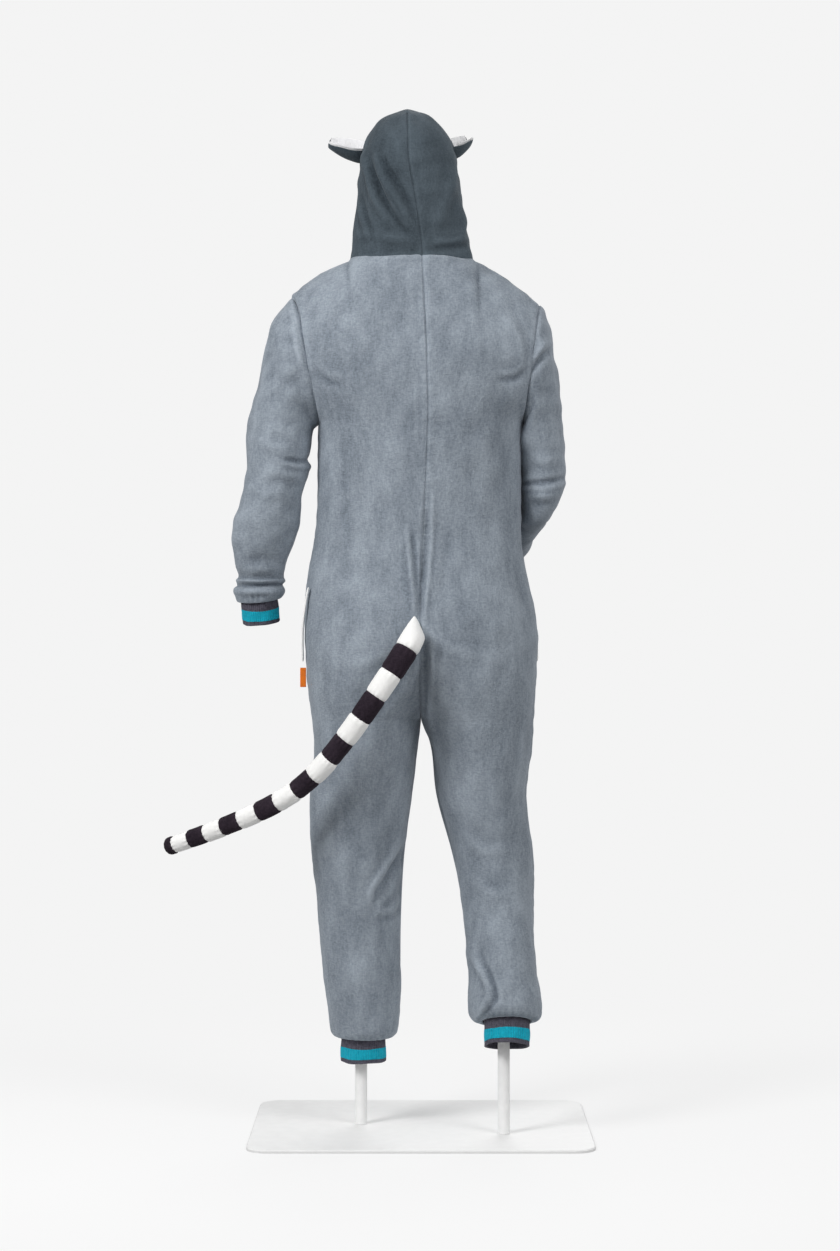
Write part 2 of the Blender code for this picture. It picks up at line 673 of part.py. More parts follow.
def ear_wall(name, centre, out, facing, length, width, thickness, lift, material):
    """A cupped ear leaf: a rounded outline along out, hollow towards facing."""
    out = np.array(out) / np.linalg.norm(out)
    facing = np.array(facing) - out * np.dot(facing, out)
    facing /= np.linalg.norm(facing)
    side = np.cross(facing, out)
    sheets = []
    for depth in (lift, lift + thickness):
        rows = []
        for along in np.linspace(-1.0, 1.0, EAR_ROWS):
            half = width * math.sqrt(1 - (EAR_ROUNDING * (along + EAR_BASE) / (1 + EAR_BASE)) ** 2)
            row = []
            for across in np.linspace(-1.0, 1.0, EAR_ROWS):
                hollow = EAR_CUP * (across**2 - 1) * (1 - EAR_TIP_FLATNESS * ((along + 1) / 2) ** EAR_TAPER)
                leaf = centre + out * along * length / 2 + side * across * half + facing * hollow
                row.append(leaf + hood_push(leaf, facing) + facing * depth)
            rows.append(row)
        sheets.append(np.array(rows))
    add_wall(name, sheets[1], sheets[0], material)


def make_ears(fleece, white):
    for name, (centre, out, facing, length, width) in EARS.items():
        centre = np.array(centre)
        ear_wall(f"ear_back_{name}", centre, out, facing, length, width, EAR_THICKNESS, 0.0, fleece)
        lift = EAR_THICKNESS + EAR_LINING_GAP
        inner = width * EAR_LINING_SHARE
        ear_wall(f"ear_lining_{name}", centre, out, facing, length, inner, EAR_LINING_THICKNESS, lift, white)


def route_curve(route, shares):
    """Points along the smooth route at shares of its length."""
    points = smooth_rows(route, 400)
    lengths = np.concatenate([[0.0], np.cumsum(np.linalg.norm(np.diff(points, axis=0), axis=1))])
    places = np.asarray(shares) * lengths[-1]
    return np.stack([np.interp(places, lengths, column) for column in points.T], axis=1)


def seat_y(x, height):
    """The back surface of the seat at a place, as a negative y."""
    centre, width, _, back = torso_section(LEFT, height, 0.0)
    return -back * math.sqrt(max(0.0, 1 - ((abs(x) - centre) / width) ** 2))


def band_places():
    """The tail's seams as shares of its length: bands grow shorter towards the tip."""
    middle = np.linspace(LONGEST_BAND, SHORTEST_BAND, TAIL_BANDS - 2)
    ends = np.cumsum([0.0, FIRST_BAND, *middle, TIP_BAND])
    return ends / ends[-1]


def tail_root(angles):
    """The tail's flat end, let into the middle seam: a narrow oval that leans with the seam."""
    lean = np.array([math.sin(TAIL_ROOT_LEAN), 0.0, -math.cos(TAIL_ROOT_LEAN)])
    aside = np.array([math.cos(TAIL_ROOT_LEAN), 0.0, math.sin(TAIL_ROOT_LEAN)])
    ring = np.outer(np.cos(angles), lean) * TAIL_ROOT_HALF_LENGTH
    ring += np.outer(np.sin(angles), aside) * TAIL_ROOT_HALF_WIDTH + TAIL_ROOT_MIDDLE
    for point in ring:
        point[1] = seat_y(point[0], point[2]) - TAIL_SEAT_GAP
    return ring


def make_tail(white, black):
    """The stuffed tail, sewn from short lengths that each pinch in at their seams."""
    rings_per_band = 3
    count = TAIL_BANDS * (rings_per_band - 1) + 1
    seams = band_places()
    places = np.interp(np.arange(count) / (rings_per_band - 1), np.arange(TAIL_BANDS + 1), seams)
    centres = route_curve(TAIL_ROUTE, places)
    tangents = np.gradient(centres, axis=0)
    tangents /= np.linalg.norm(tangents, axis=1)[:, None]
    angles = np.linspace(0.0, 2 * math.pi, TAIL_SIDES, endpoint=False)
    for band in range(TAIL_BANDS):
        rings = []
        for step in range(rings_per_band):
            index = band * (rings_per_band - 1) + step
            share = places[index]
            radius = TAIL_ROOT_RADIUS + (TAIL_TIP_RADIUS - TAIL_ROOT_RADIUS) * share
            if step != 1:
                radius *= TAIL_PINCH
            if index == count - 1:
                radius *= TAIL_TIP_CLOSING
            tangent = tangents[index]
            across = np.cross(tangent, (0.0, 1.0, 0.0))
            across /= np.linalg.norm(across)
            along = np.cross(tangent, across)
            shift = tangent * SEAM_GAP / 2 * (1 if step == 0 else -1 if step == 2 else 0)
            middle = centres[index] + shift
            around = np.outer(np.cos(angles), across) + np.outer(np.sin(angles), along)
            rings.append(middle + radius * around)
        if band == 0:
            rings[0] = list(tail_root(angles))
        material = white if band % 2 == 0 else black
        add_loft(f"tail_{band + 1:02d}", rings, material)


def strip(name, path, across, half_width, thickness, material):
    """A flat strip along a path of points, with its underside on the path."""
    path = np.array(path)
    across = np.array(across, float)
    tangents = np.gradient(path, axis=0)
    tangents /= np.linalg.norm(tangents, axis=1)[:, None]
    up = np.cross(across, tangents)
    up /= np.linalg.norm(up, axis=1)[:, None]
    rings = []
    for point, normal in zip(path, up):
        a, b = point - across * half_width, point + across * half_width
        rings.append([a, b, b + normal * thickness, a + normal * thickness])
    return add_loft(name, rings, material, smooth=False)


def front_y(height):
    """The front surface's distance forward at the middle."""
    if height >= HIP_Z:
        if height <= armhole_middle(RIGHT):
            return at_height(TORSO, height)[3]
        rows = [yoke_row(RIGHT, FRONT, turn, 0.0)[-1] for turn in np.linspace(0.0, 1.0, 9)]
        return float(np.interp(height, [row[2] for row in rows], [row[1] for row in rows]))
    centre, width, front, _ = torso_section(RIGHT, height, 0.0)
    return front * math.sqrt(max(0.0, 1 - (centre / width) ** 2))


def make_zip(metal, dark):
    heights = np.linspace(ZIP_BOTTOM_Z + ZIP_STOP, ZIP_TOP_Z, ZIP_ROWS)
    path = [(0.0, front_y(z) - WALL * CHAIN_SUNK, z) for z in heights]
    strip("zip_chain", path, (1.0, 0.0, 0.0), ZIP_HALF_WIDTH - ZIP_EASE, CHAIN_THICKNESS, metal)
    top = ZIP_SLIDER_Z
    slope = (front_y(top) - front_y(top - PULL_DROPS[-1])) / PULL_DROPS[-1]
    for name, drops, lift, half_width, thickness, material in (
        ("zip_slider", SLIDER_DROPS, SLIDER_LIFT, SLIDER_HALF_WIDTH, SLIDER_THICKNESS, metal),
        ("zip_pull", PULL_DROPS, PULL_LIFT, PULL_HALF_WIDTH, PULL_THICKNESS, dark),
    ):
        path = [(0.0, front_y(top) + lift - slope * drop, top - drop) for drop in drops[::-1]]
        strip(name, path, (1.0, 0.0, 0.0), half_width, thickness, material)


def make_pockets(white, tab_material):
    """A welt along each side pocket's mouth, and the small tab in the left side seam."""
    for side, word in ((LEFT, "left"), (RIGHT, "right")):
        path = []
        for share in np.linspace(0.0, 1.0, WELT_ROWS):
            height = WELT_BOTTOM_Z + (WELT_TOP_Z - WELT_BOTTOM_Z) * share
            centre, width, front, back = torso_section(side, height, 0.0)
            depth = back if side == LEFT else front
            angle = WELT_LOW_ANGLE[side] + (WELT_HIGH_ANGLE[side] - WELT_LOW_ANGLE[side]) * share
            x = centre + (width + WELT_CLEARANCE) * math.cos(angle)
            path.append((side * x, -(depth + WELT_CLEARANCE) * math.sin(angle), height))
        path = path if side == RIGHT else path[::-1]
        strip(f"pocket_welt_{word}", path, (0.0, 1.0, 0.0), WELT_HALF_WIDTH, WELT_THICKNESS, white)
    centre, width, _, _ = torso_section(LEFT, TAB_TOP_Z, 0.0)
    out = -(centre + width) - TAB_WIDTH / 2 - TAB_CLEARANCE
    path = [(out, TAB_THICKNESS / 2, TAB_TOP_Z), (out - TAB_CLEARANCE, TAB_THICKNESS / 2, TAB_BOTTOM_Z)]
    strip("side_tab", path, (1.0, 0.0, 0.0), TAB_WIDTH / 2, TAB_THICKNESS, tab_material)


def face_spot(name, middle, half_size, thickness, material, lift=0.0):
    """A domed oval laid on the front of the hood."""
    rings = []
    angles = np.linspace(0.0, 2 * math.pi, SPOT_SIDES, endpoint=False)
    for share, raised in ((1.0, 0.0), (0.94, 0.55), (0.60, 1.0)):
        ring = []
        for angle in angles:
            x = middle[0] + half_size[0] * share * math.cos(angle)
            z = middle[1] + half_size[1] * share * math.sin(angle)
            ring.append((x, hood_front_y(x, z) + SPOT_CLEARANCE + lift + thickness * raised, z))
        rings.append(ring)
    return add_loft(name, rings, material)


def rounded_plate(width, depth, corner, height):
    points = []
    for turn, (cx, cy) in enumerate(((1, 1), (-1, 1), (-1, -1), (1, -1))):
        centre = np.array([cx * (width / 2 - corner), cy * (depth / 2 - corner)])
        for step in range(BASE_CORNER_STEPS + 1):
            angle = math.pi / 2 * (turn + step / BASE_CORNER_STEPS)
            points.append((*(centre + corner * np.array([math.cos(angle), math.sin(angle)])), height))
    return points


def make_stand(painted):
    width, depth, thickness = BASE_SIZE
    edge = 0.002
    rings = [
        rounded_plate(width, depth, BASE_CORNER, 0.0),
        rounded_plate(width, depth, BASE_CORNER, thickness - edge),
        rounded_plate(width - 2 * edge, depth - 2 * edge, BASE_CORNER - edge, thickness),
    ]
    add_loft("stand_base", rings, painted)
    angles = np.linspace(0.0, 2 * math.pi, 16, endpoint=False)
    for side, word in ((LEFT, "left"), (RIGHT, "right")):
        top = SPREADER_Z
        plates = []
        for height in (top, top + SPREADER_THICKNESS):
            station = at_height(LEG[side], height)
            inset = WALL + SPREADER_CLEARANCE
            front = leg_row(side, FRONT, station, inset)
            back = leg_row(side, BACK, station, inset)[::-1]
            plates.append(np.vstack([front, back[1:-1]]))
        add_loft(f"stand_spreader_{word}", plates, painted)
        _, out, middle_y, _, _, tilt = at_height(LEG[side], top)
        circle = np.stack([np.cos(angles), np.sin(angles), np.zeros_like(angles)], axis=1) * ROD_RADIUS
        foot = circle + (side * out, middle_y + ROD_FOOT_SHIFT[side], thickness + SEAM_GAP / 2)
        head = circle + (side * out, middle_y + ROD_HEAD_SHIFT[side], top - 2 * SEAM_GAP)
        head[:, 2] += tilt * (head[:, 1] - middle_y)
        add_loft(f"stand_rod_{word}", [foot, head], painted)


def main():
    clear_scene()
    body = make_material("body_fleece", (0.26, 0.29, 0.34), 0.95)
    hood = make_material("hood_fleece", (0.07, 0.09, 0.11), 0.95)
    rib = make_material("rib_knit", (0.11, 0.11, 0.14), 0.9)
    teal = make_material("teal_knit", (0.01, 0.38, 0.52), 0.9)
    white = make_material("white_fleece", (0.90, 0.89, 0.86), 0.95)
    black = make_material("black_fleece", (0.03, 0.02, 0.03), 0.95)
    metal = make_material("zip_metal", (0.55, 0.56, 0.58), 0.35, 1.0)
    orange = make_material("orange_webbing", (0.90, 0.25, 0.02), 0.8)
    amber = make_material("amber_eye", (0.75, 0.32, 0.03), 0.15)
    nose = make_material("nose_felt", (0.02, 0.02, 0.02), 0.7)
    painted = make_material("stand_paint", (0.62, 0.62, 0.60), 0.5)
    make_body(body)
    make_sleeve(LEFT, "sleeve_left", body)
    make_sleeve(RIGHT, "sleeve_right", body)
    make_hood(hood)
    make_face_band(rib)
    for name, frame in cuff_frames().items():
        make_cuff(name, frame, rib, teal)
    make_ears(hood, white)
    make_tail(white, black)
    make_zip(metal, orange)
    make_pockets(white, orange)
    for side, word in ((LEFT, "left"), (RIGHT, "right")):
        x = FACE_MIDDLE_X + side * EYE_SPACING
        face_spot(f"eye_patch_{word}", (x, EYE_Z), PATCH_HALF_SIZE, PATCH_THICKNESS, black)
        face_spot(f"eye_{word}", (x, EYE_Z), EYE_HALF_SIZE, EYE_THICKNESS, amber, PATCH_THICKNESS + SEAM_GAP)
    face_spot("nose_patch", (FACE_MIDDLE_X, NOSE_Z), NOSE_HALF_SIZE, NOSE_THICKNESS, nose)
    make_stand(painted)


main()
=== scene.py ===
"""Looks of the hooded lemur costume: fleece panels with sewn seams and folds, knitted cuffs, a stuffed
ringed tail, hood, ears and zip, on the display stand.

The costume faces +Y. Sections are the same as the solids' own, in metres.
"""

import json
import math

import bpy
import mathutils
import numpy as np
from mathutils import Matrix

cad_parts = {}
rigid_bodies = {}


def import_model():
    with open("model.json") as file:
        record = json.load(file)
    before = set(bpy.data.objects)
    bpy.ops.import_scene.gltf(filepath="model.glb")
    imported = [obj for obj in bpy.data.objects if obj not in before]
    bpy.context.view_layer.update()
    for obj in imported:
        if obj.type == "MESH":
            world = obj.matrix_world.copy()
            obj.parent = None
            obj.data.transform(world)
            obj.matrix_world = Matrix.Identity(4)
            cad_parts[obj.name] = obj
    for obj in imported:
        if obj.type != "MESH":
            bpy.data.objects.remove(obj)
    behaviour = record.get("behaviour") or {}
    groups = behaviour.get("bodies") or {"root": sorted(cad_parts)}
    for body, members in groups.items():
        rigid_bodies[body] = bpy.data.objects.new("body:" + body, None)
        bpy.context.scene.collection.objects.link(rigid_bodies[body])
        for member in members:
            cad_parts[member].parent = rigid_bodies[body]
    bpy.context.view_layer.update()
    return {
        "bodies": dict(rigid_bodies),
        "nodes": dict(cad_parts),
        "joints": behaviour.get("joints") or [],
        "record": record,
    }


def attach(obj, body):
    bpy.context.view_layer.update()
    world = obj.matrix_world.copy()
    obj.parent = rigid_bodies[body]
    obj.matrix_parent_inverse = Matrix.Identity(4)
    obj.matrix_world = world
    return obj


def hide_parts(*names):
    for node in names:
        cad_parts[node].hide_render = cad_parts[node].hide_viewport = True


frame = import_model()

LEFT, RIGHT = -1, 1
FRONT, BACK = 1, -1
SIDES = ((LEFT, "left"), (RIGHT, "right"))

WALL = 0.0045
HIP_Z = 1.02
CROTCH_Z = 0.755
CROTCH_SHARPNESS = 2.2
ARMPIT_Z = 1.300
SHOULDER_TIP_Z = {LEFT: 1.533, RIGHT: 1.520}
SHOULDER_TIP_X = {LEFT: 0.240, RIGHT: 0.222}
SHOULDER_CROWN = {LEFT: 0.009, RIGHT: 0.003}
ARMPIT_X = 0.187
ARMHOLE_DEPTH = 0.084
NECK_HALF_WIDTH = {LEFT: 0.131, RIGHT: 0.098}
NECK_DEPTH = {FRONT: 0.095, BACK: 0.092}
NECK_SIDE_Z = 1.600
NECK_CENTRE_Z = {FRONT: 1.592, BACK: 1.604}
ZIP_HALF_WIDTH = 0.0045
ZIP_BOTTOM_Z = 0.80
ZIP_GAP_RISE = 0.02
YOKE_STRAIGHTNESS = 0.8

# Torso sections: height, width left and right of the middle, front depth, back depth.
TORSO = [
    (CROTCH_Z, 0.201, 0.205, 0.116, 0.118),
    (0.83, 0.213, 0.212, 0.131, 0.138),
    (0.91, 0.219, 0.214, 0.143, 0.145),
    (0.97, 0.217, 0.206, 0.150, 0.139),
    (HIP_Z, 0.211, 0.194, 0.152, 0.128),
    (1.09, 0.199, 0.183, 0.148, 0.118),
    (1.18, 0.192, 0.184, 0.144, 0.116),
    (ARMPIT_Z, 0.188, 0.187, 0.140, 0.124),
    (1.41, 0.195, 0.195, 0.132, 0.129),
]

# The back's middle seam: height, how far it strays to the right.
BACK_SEAM = [
    (CROTCH_Z, 0.000),
    (0.86, -0.001),
    (0.97, -0.001),
    (1.07, 0.002),
    (1.20, 0.009),
    (1.33, 0.013),
    (1.45, 0.009),
    (NECK_CENTRE_Z[BACK], 0.002),
]

# Leg sections from the crotch to the hem: height, centre x, centre y, half width, half depth, tilt.
LEG = {
    LEFT: [
        (0.700, 0.1025, 0.000, 0.0965, 0.111, 0.0),
        (0.620, 0.1112, 0.004, 0.0945, 0.104, 0.0),
        (0.500, 0.1163, 0.009, 0.0850, 0.095, 0.0),
        (0.380, 0.1145, 0.007, 0.0772, 0.086, 0.0),
        (0.270, 0.1092, 0.002, 0.0710, 0.078, 0.0),
        (0.208, 0.1066, 0.000, 0.0655, 0.071, 0.0),
        (0.182, 0.1065, 0.000, 0.0628, 0.067, 0.0),
        (0.171, 0.1065, 0.000, 0.0562, 0.058, 0.0),
        (0.167, 0.1065, 0.000, 0.0470, 0.048, 0.0),
    ],
    RIGHT: [
        (0.700, 0.1103, 0.000, 0.0912, 0.111, 0.0),
        (0.610, 0.1110, 0.005, 0.0820, 0.103, 0.0),
        (0.500, 0.1305, 0.010, 0.0715, 0.095, -0.03),
        (0.400, 0.1438, -0.008, 0.0635, 0.086, -0.16),
        (0.300, 0.1505, -0.045, 0.0615, 0.078, -0.28),
        (0.248, 0.1535, -0.068, 0.0650, 0.073, -0.32),
        (0.224, 0.1545, -0.078, 0.0650, 0.070, -0.33),
        (0.212, 0.1560, -0.082, 0.0590, 0.062, -0.33),
        (0.208, 0.1560, -0.084, 0.0475, 0.049, -0.33),
    ],
}

# Sleeve sections from shoulder to hem: centre, half width along x and z, half depth, bend in degrees.
SLEEVE = {
    LEFT: [
        ((-0.236, 0.000, 1.391), (-0.036, 0.098), 0.082, 0),
        ((-0.249, 0.000, 1.338), (-0.044, 0.073), 0.077, 0),
        ((-0.259, -0.003, 1.284), (-0.052, 0.048), 0.071, 0),
        ((-0.267, -0.006, 1.229), (-0.056, 0.024), 0.066, 0),
        ((-0.276, -0.004, 1.172), (-0.057, 0.004), 0.062, 2),
        ((-0.286, 0.005, 1.112), (-0.061, -0.003), 0.060, 6),
        ((-0.293, 0.016, 1.064), (-0.053, -0.005), 0.053, 9),
        ((-0.296, 0.026, 1.026), (-0.042, -0.005), 0.045, 10),
        ((-0.300, 0.033, 1.002), (-0.0475, -0.004), 0.049, 10),
        ((-0.300, 0.036, 0.984), (-0.044, -0.003), 0.045, 10),
        ((-0.301, 0.037, 0.977), (-0.0405, -0.003), 0.0415, 10),
    ],
    RIGHT: [
        ((0.218, 0.004, 1.382), (0.021, 0.090), 0.081, 0),
        ((0.221, 0.014, 1.332), (0.031, 0.064), 0.077, 0),
        ((0.224, 0.025, 1.280), (0.039, 0.036), 0.071, 1),
        ((0.227, 0.030, 1.228), (0.042, 0.018), 0.066, 4),
        ((0.227, 0.032, 1.185), (0.041, 0.014), 0.061, 14),
        ((0.223, 0.040, 1.160), (0.038, 0.016), 0.056, 34),
        ((0.213, 0.068, 1.146), (0.036, 0.014), 0.050, 56),
        ((0.198, 0.108, 1.128), (0.036, 0.010), 0.046, 68),
        ((0.181, 0.149, 1.108), (0.038, 0.006), 0.044, 73),
        ((0.169, 0.186, 1.090), (0.043, 0.004), 0.045, 75),
        ((0.164, 0.203, 1.085), (0.042, 0.003), 0.044, 75),
        ((0.162, 0.210, 1.083), (0.0405, 0.003), 0.0415, 75),
    ],
}

# Hood sections from the neck to its widest height: height, seam x, left x, right x, back depth, front depth.
HOOD = [
    (1.606, 0.003, -0.131, 0.098, 0.092, 0.095),
    (1.640, -0.001, -0.125, 0.089, 0.101, 0.103),
    (1.690, -0.008, -0.118, 0.082, 0.114, 0.113),
    (1.735, -0.016, -0.117, 0.0785, 0.120, 0.119),
    (1.769, -0.022, -0.116, 0.070, 0.126, 0.124),
]
HOOD_TOP_Z = 1.880
HOOD_DOME_POWER = 0.62
HOOD_RIDGE_SHARE = 0.75
HOOD_RIDGE_FALL = 0.012
HOOD_SEAM_DRIFT = 0.003
HOOD_NECK_TUCK = 0.012
MOUTH_START = 0.04 * math.pi
HOOD_LEAST_WIDTH = 0.0006
FACE_Z = 1.712
FACE_HALF_HEIGHT = 0.100
FACE_HALF_WIDTH = 0.074
FACE_X = -0.022

TAIL_ROUTE = [
    (-0.009, -0.152, 0.920),
    (-0.027, -0.174, 0.884),
    (-0.083, -0.180, 0.799),
    (-0.138, -0.171, 0.722),
    (-0.195, -0.155, 0.657),
    (-0.260, -0.134, 0.609),
    (-0.358, -0.095, 0.563),
    (-0.467, -0.045, 0.521),
]
TAIL_BANDS = 16
TAIL_ROOT_RADIUS = 0.0222
TAIL_TIP_RADIUS = 0.0158
FIRST_BAND, LONGEST_BAND, SHORTEST_BAND, TIP_BAND = 0.0445, 0.0508, 0.0342, 0.0195


# ---- curves, grids and meshes


def smooth_rows(stations, rows):
    """The station table read at more rows, along a smooth curve through every station."""
    table = np.array(stations, float)
    padded = np.vstack([table[0] * 2 - table[1], table, table[-1] * 2 - table[-2]])
    places = np.linspace(0, len(table) - 1, rows)
    index = np.minimum(places.astype(int), len(table) - 2)
    t = (places - index)[:, None]
    a, b, c, d = (padded[index + step] for step in range(4))
    curve = 2 * b + (c - a) * t + (2 * a - 5 * b + 4 * c - d) * t**2 + (3 * b - a - 3 * c + d) * t**3
    return curve / 2


def reader(stations):
    """A function that reads a station table smoothly at a height."""
    rows = smooth_rows(stations, 60 * len(stations))
    rows = rows[np.argsort(rows[:, 0])]
    return lambda height: np.array([np.interp(height, rows[:, 0], column) for column in rows.T])


torso_at = reader(TORSO)
hood_at = reader(HOOD)
back_seam_at = reader(BACK_SEAM)


def clamp(value):
    return min(max(value, 0.0), 1.0)


def ramp(distance, reach):
    """0 at an edge, rising evenly to 1 where the distance is reach."""
    return np.clip(distance / reach, 0.0, 1.0)


def calmed(share, least):
    """A share that goes no lower than a least one."""
    return least + (1 - least) * share


def bell(distance, width, power=2):
    """1 where there is no distance, falling away over the width."""
    return np.exp(-((distance / width) ** power))


def round_off(share):
    """How high a unit circle stands at a share of its half width. It is 0 outside the circle."""
    return math.sqrt(max(0.0, 1 - share**2))


def unit(vectors):
    return vectors / np.linalg.norm(vectors, axis=-1, keepdims=True)


def circle(count):
    """Angles spread evenly over a full turn."""
    return np.linspace(0.0, 2 * math.pi, count, endpoint=False)


def oval(angles, first, second):
    """Offsets round an oval with two half axes."""
    return np.outer(np.cos(angles), first) + np.outer(np.sin(angles), second)


def clustered(count, strength):
    """Shares from 0 to 1, set closer together at both ends, where the seams are."""
    t = np.linspace(0.0, 1.0, count)
    return t - strength * np.sin(2 * math.pi * t) / (2 * math.pi)


def waves(points, seed, size, height=1.0, count=14, stretch=(1.0, 1.0, 1.0)):
    """Smooth noise as a sum of waves: features roughly size across, and about height up and down."""
    rng = np.random.default_rng(seed)
    directions = unit(rng.normal(size=(count, 3))) / np.array(stretch)
    lengths = size * rng.uniform(0.7, 1.8, count)
    phases = rng.uniform(0, 2 * math.pi, count)
    total = np.zeros(points.shape[:-1])
    for direction, length, phase in zip(directions, lengths, phases):
        total += np.sin(points @ direction * 2 * math.pi / length + phase)
    return total / math.sqrt(count / 2) / 1.6 * height


def grid_normals(grid, ways, around=False):
    """Unit normals of a grid of points, on the side that the given directions point to."""
    if around:
        wide = np.concatenate([grid[:, -1:], grid, grid[:, :1]], axis=1)
        across = wide[:, 2:] - wide[:, :-2]
    else:
        across = np.gradient(grid, axis=1)
    normals = np.cross(across, np.gradient(grid, axis=0))
    normals /= np.maximum(np.linalg.norm(normals, axis=2, keepdims=True), 1e-12)
    return normals * np.sign((normals * ways).sum())


def edge_distance(grid, axis):
    """Distance of each point from the first and the last line of the grid, along its surface."""
    steps = np.linalg.norm(np.diff(grid, axis=axis), axis=2)
    zero = np.zeros_like(np.take(steps, [0], axis=axis))
    run = np.concatenate([zero, np.cumsum(steps, axis=axis)], axis=axis)
    return run, np.take(run, [-1], axis=axis) - run


def relax(grid, turns, keep=0.0):
    """Evens out the steps from row to row, but for the share that keep holds in place."""
    for _ in range(turns):
        middle = grid.copy()
        middle[1:-1] = (grid[:-2] + 2 * grid[1:-1] + grid[2:]) / 4
        grid = middle + (grid - middle) * keep
    return grid


def grid_indices(rows, columns, around):
    """The grid's point numbers, with the first column once more at the end where it closes round."""
    index = np.arange(rows * columns).reshape(rows, columns)
    return np.hstack([index, index[:, :1]]) if around else index


def grid_faces(rows, columns, around):
    index = grid_indices(rows, columns, around)
    return np.stack([index[:-1, :-1], index[:-1, 1:], index[1:, 1:], index[1:, :-1]], axis=2).reshape(-1, 4)


def signed_volume(points, quads):
    a, b, c, d = (points[quads[:, i]] for i in range(4))
    return np.einsum("ij,ij->", a, np.cross(b, c)) + np.einsum("ij,ij->", a, np.cross(c, d))


def new_object(name, data):
    obj = bpy.data.objects.new(name, data)
    bpy.context.scene.collection.objects.link(obj)
    return obj


def finished(name, mesh, material):
    """A smooth object of the mesh on the root body."""
    mesh.shade_smooth()
    mesh.materials.append(material)
    obj = new_object(name, mesh)
    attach(obj, "root")
    return obj


def quad_piece(name, points, quads, material):
    """A smooth mesh object of quads."""
    mesh = bpy.data.meshes.new(name)
    mesh.vertices.add(len(points))
    mesh.vertices.foreach_set("co", points.ravel())
    mesh.loops.add(quads.size)
    mesh.loops.foreach_set("vertex_index", quads.ravel())
    mesh.polygons.add(len(quads))
    mesh.polygons.foreach_set("loop_start", np.arange(len(quads)) * 4)
    mesh.update(calc_edges=True)
    mesh.validate()
    return finished(name, mesh, material)


def facing_out(points, quads):
    return quads[:, ::-1] if signed_volume(points, quads) < 0 else quads


def wall_piece(name, outer, inner, material, around=False):
    """A closed cloth wall between two grids, with its edges rolled shut."""
    rows, columns = outer.shape[:2]
    count = rows * columns
    index = grid_indices(rows, columns, around)
    edges = [(index[0, 1:], index[0, :-1]), (index[-1, :-1], index[-1, 1:])]
    if not around:
        edges += [(index[:-1, 0], index[1:, 0]), (index[1:, -1], index[:-1, -1])]
    skin = grid_faces(rows, columns, around)
    faces = [skin, skin[:, ::-1] + count]
    faces += [np.stack([start, end, end + count, start + count], axis=1) for start, end in edges]
    points = np.vstack([outer.reshape(-1, 3), inner.reshape(-1, 3)])
    return quad_piece(name, points, facing_out(points, np.vstack(faces)), material)


def tube_piece(name, rings, material):
    """A closed solid through rings of points, with its ends closed by small fans."""
    rings = np.asarray(rings, float)
    rows, columns = rings.shape[:2]
    points = np.vstack([rings.reshape(-1, 3), rings[0].mean(axis=0), rings[-1].mean(axis=0)])
    index = grid_indices(rows, columns, True)
    first, last = np.full(columns, rows * columns), np.full(columns, rows * columns + 1)
    quads = grid_faces(rows, columns, True)
    faces = [*quads, *np.stack([index[0, 1:], index[0, :-1], first], axis=1)]
    faces += [*np.stack([index[-1, :-1], index[-1, 1:], last], axis=1)]
    turn = -1 if signed_volume(points, quads) < 0 else 1
    mesh = bpy.data.meshes.new(name)
    mesh.from_pydata(points.tolist(), [], [face[::turn].tolist() for face in faces])
    return finished(name, mesh, material)


# ---- body and sleeve sections


def torso_half(side, height):
    """The half width of one side of the torso at a height, and its depths in front and behind."""
    _, left, right, front, back = torso_at(height)
    return (left if side == LEFT else right), {FRONT: front, BACK: back}


def torso_section(side, height, inset=0.0):
    """The side's own oval: how far out its middle is, its half width, and its two depths."""
    half_width, depth = torso_half(side, height)
    fall = clamp((HIP_Z - height) / (HIP_Z - CROTCH_Z)) ** CROTCH_SHARPNESS
    centre = half_width * fall / (1 + fall)
    return centre, half_width - centre - inset, {face: depth[face] - inset for face in (FRONT, BACK)}


def middle_gap(face, height):
    """Half of the gap between the front panels, where the zip is."""
    return ZIP_HALF_WIDTH * clamp((height - ZIP_BOTTOM_Z) / ZIP_GAP_RISE) if face == FRONT else 0.0


def torso_row(side, face, height, inset, shares):
    """A row of one panel across the trunk, from the side seam to the middle."""
    centre, width, depth = torso_section(side, height, inset)
    gap = middle_gap(face, height)
    angles = shares * math.acos(min(max((gap - centre) / width, -1.0), 1.0))
    x = np.maximum(centre + width * np.cos(angles), gap)
    y = np.maximum(depth[face] * np.sin(angles), 0.0)
    return np.stack([side * x, face * y, np.full_like(x, height)], axis=1)


def leg_rows(side, face, inset, count, shares):
    """Rows from the hem up to just under the crotch."""
    half_width, depth = torso_half(side, CROTCH_Z)
    top = (CROTCH_Z, half_width / 2, 0.0, half_width / 2, depth[face], 0.0)
    table = smooth_rows([top, *LEG[side]], count)[::-1][:-1]
    angles = shares * math.pi
    rows = []
    for height, centre_x, centre_y, width, deep, tilt in table:
        x = side * (centre_x + (width - inset) * np.cos(angles))
        y = face * (deep - inset) * np.sin(angles)
        rows.append(np.stack([x, centre_y + y, height + tilt * y], axis=1))
    return rows


def armhole_middle(side):
    return (ARMPIT_Z + SHOULDER_TIP_Z[side]) / 2


def armhole_x(side, height):
    share = (height - ARMPIT_Z) / (SHOULDER_TIP_Z[side] - ARMPIT_Z)
    return ARMPIT_X + (SHOULDER_TIP_X[side] - ARMPIT_X) * share


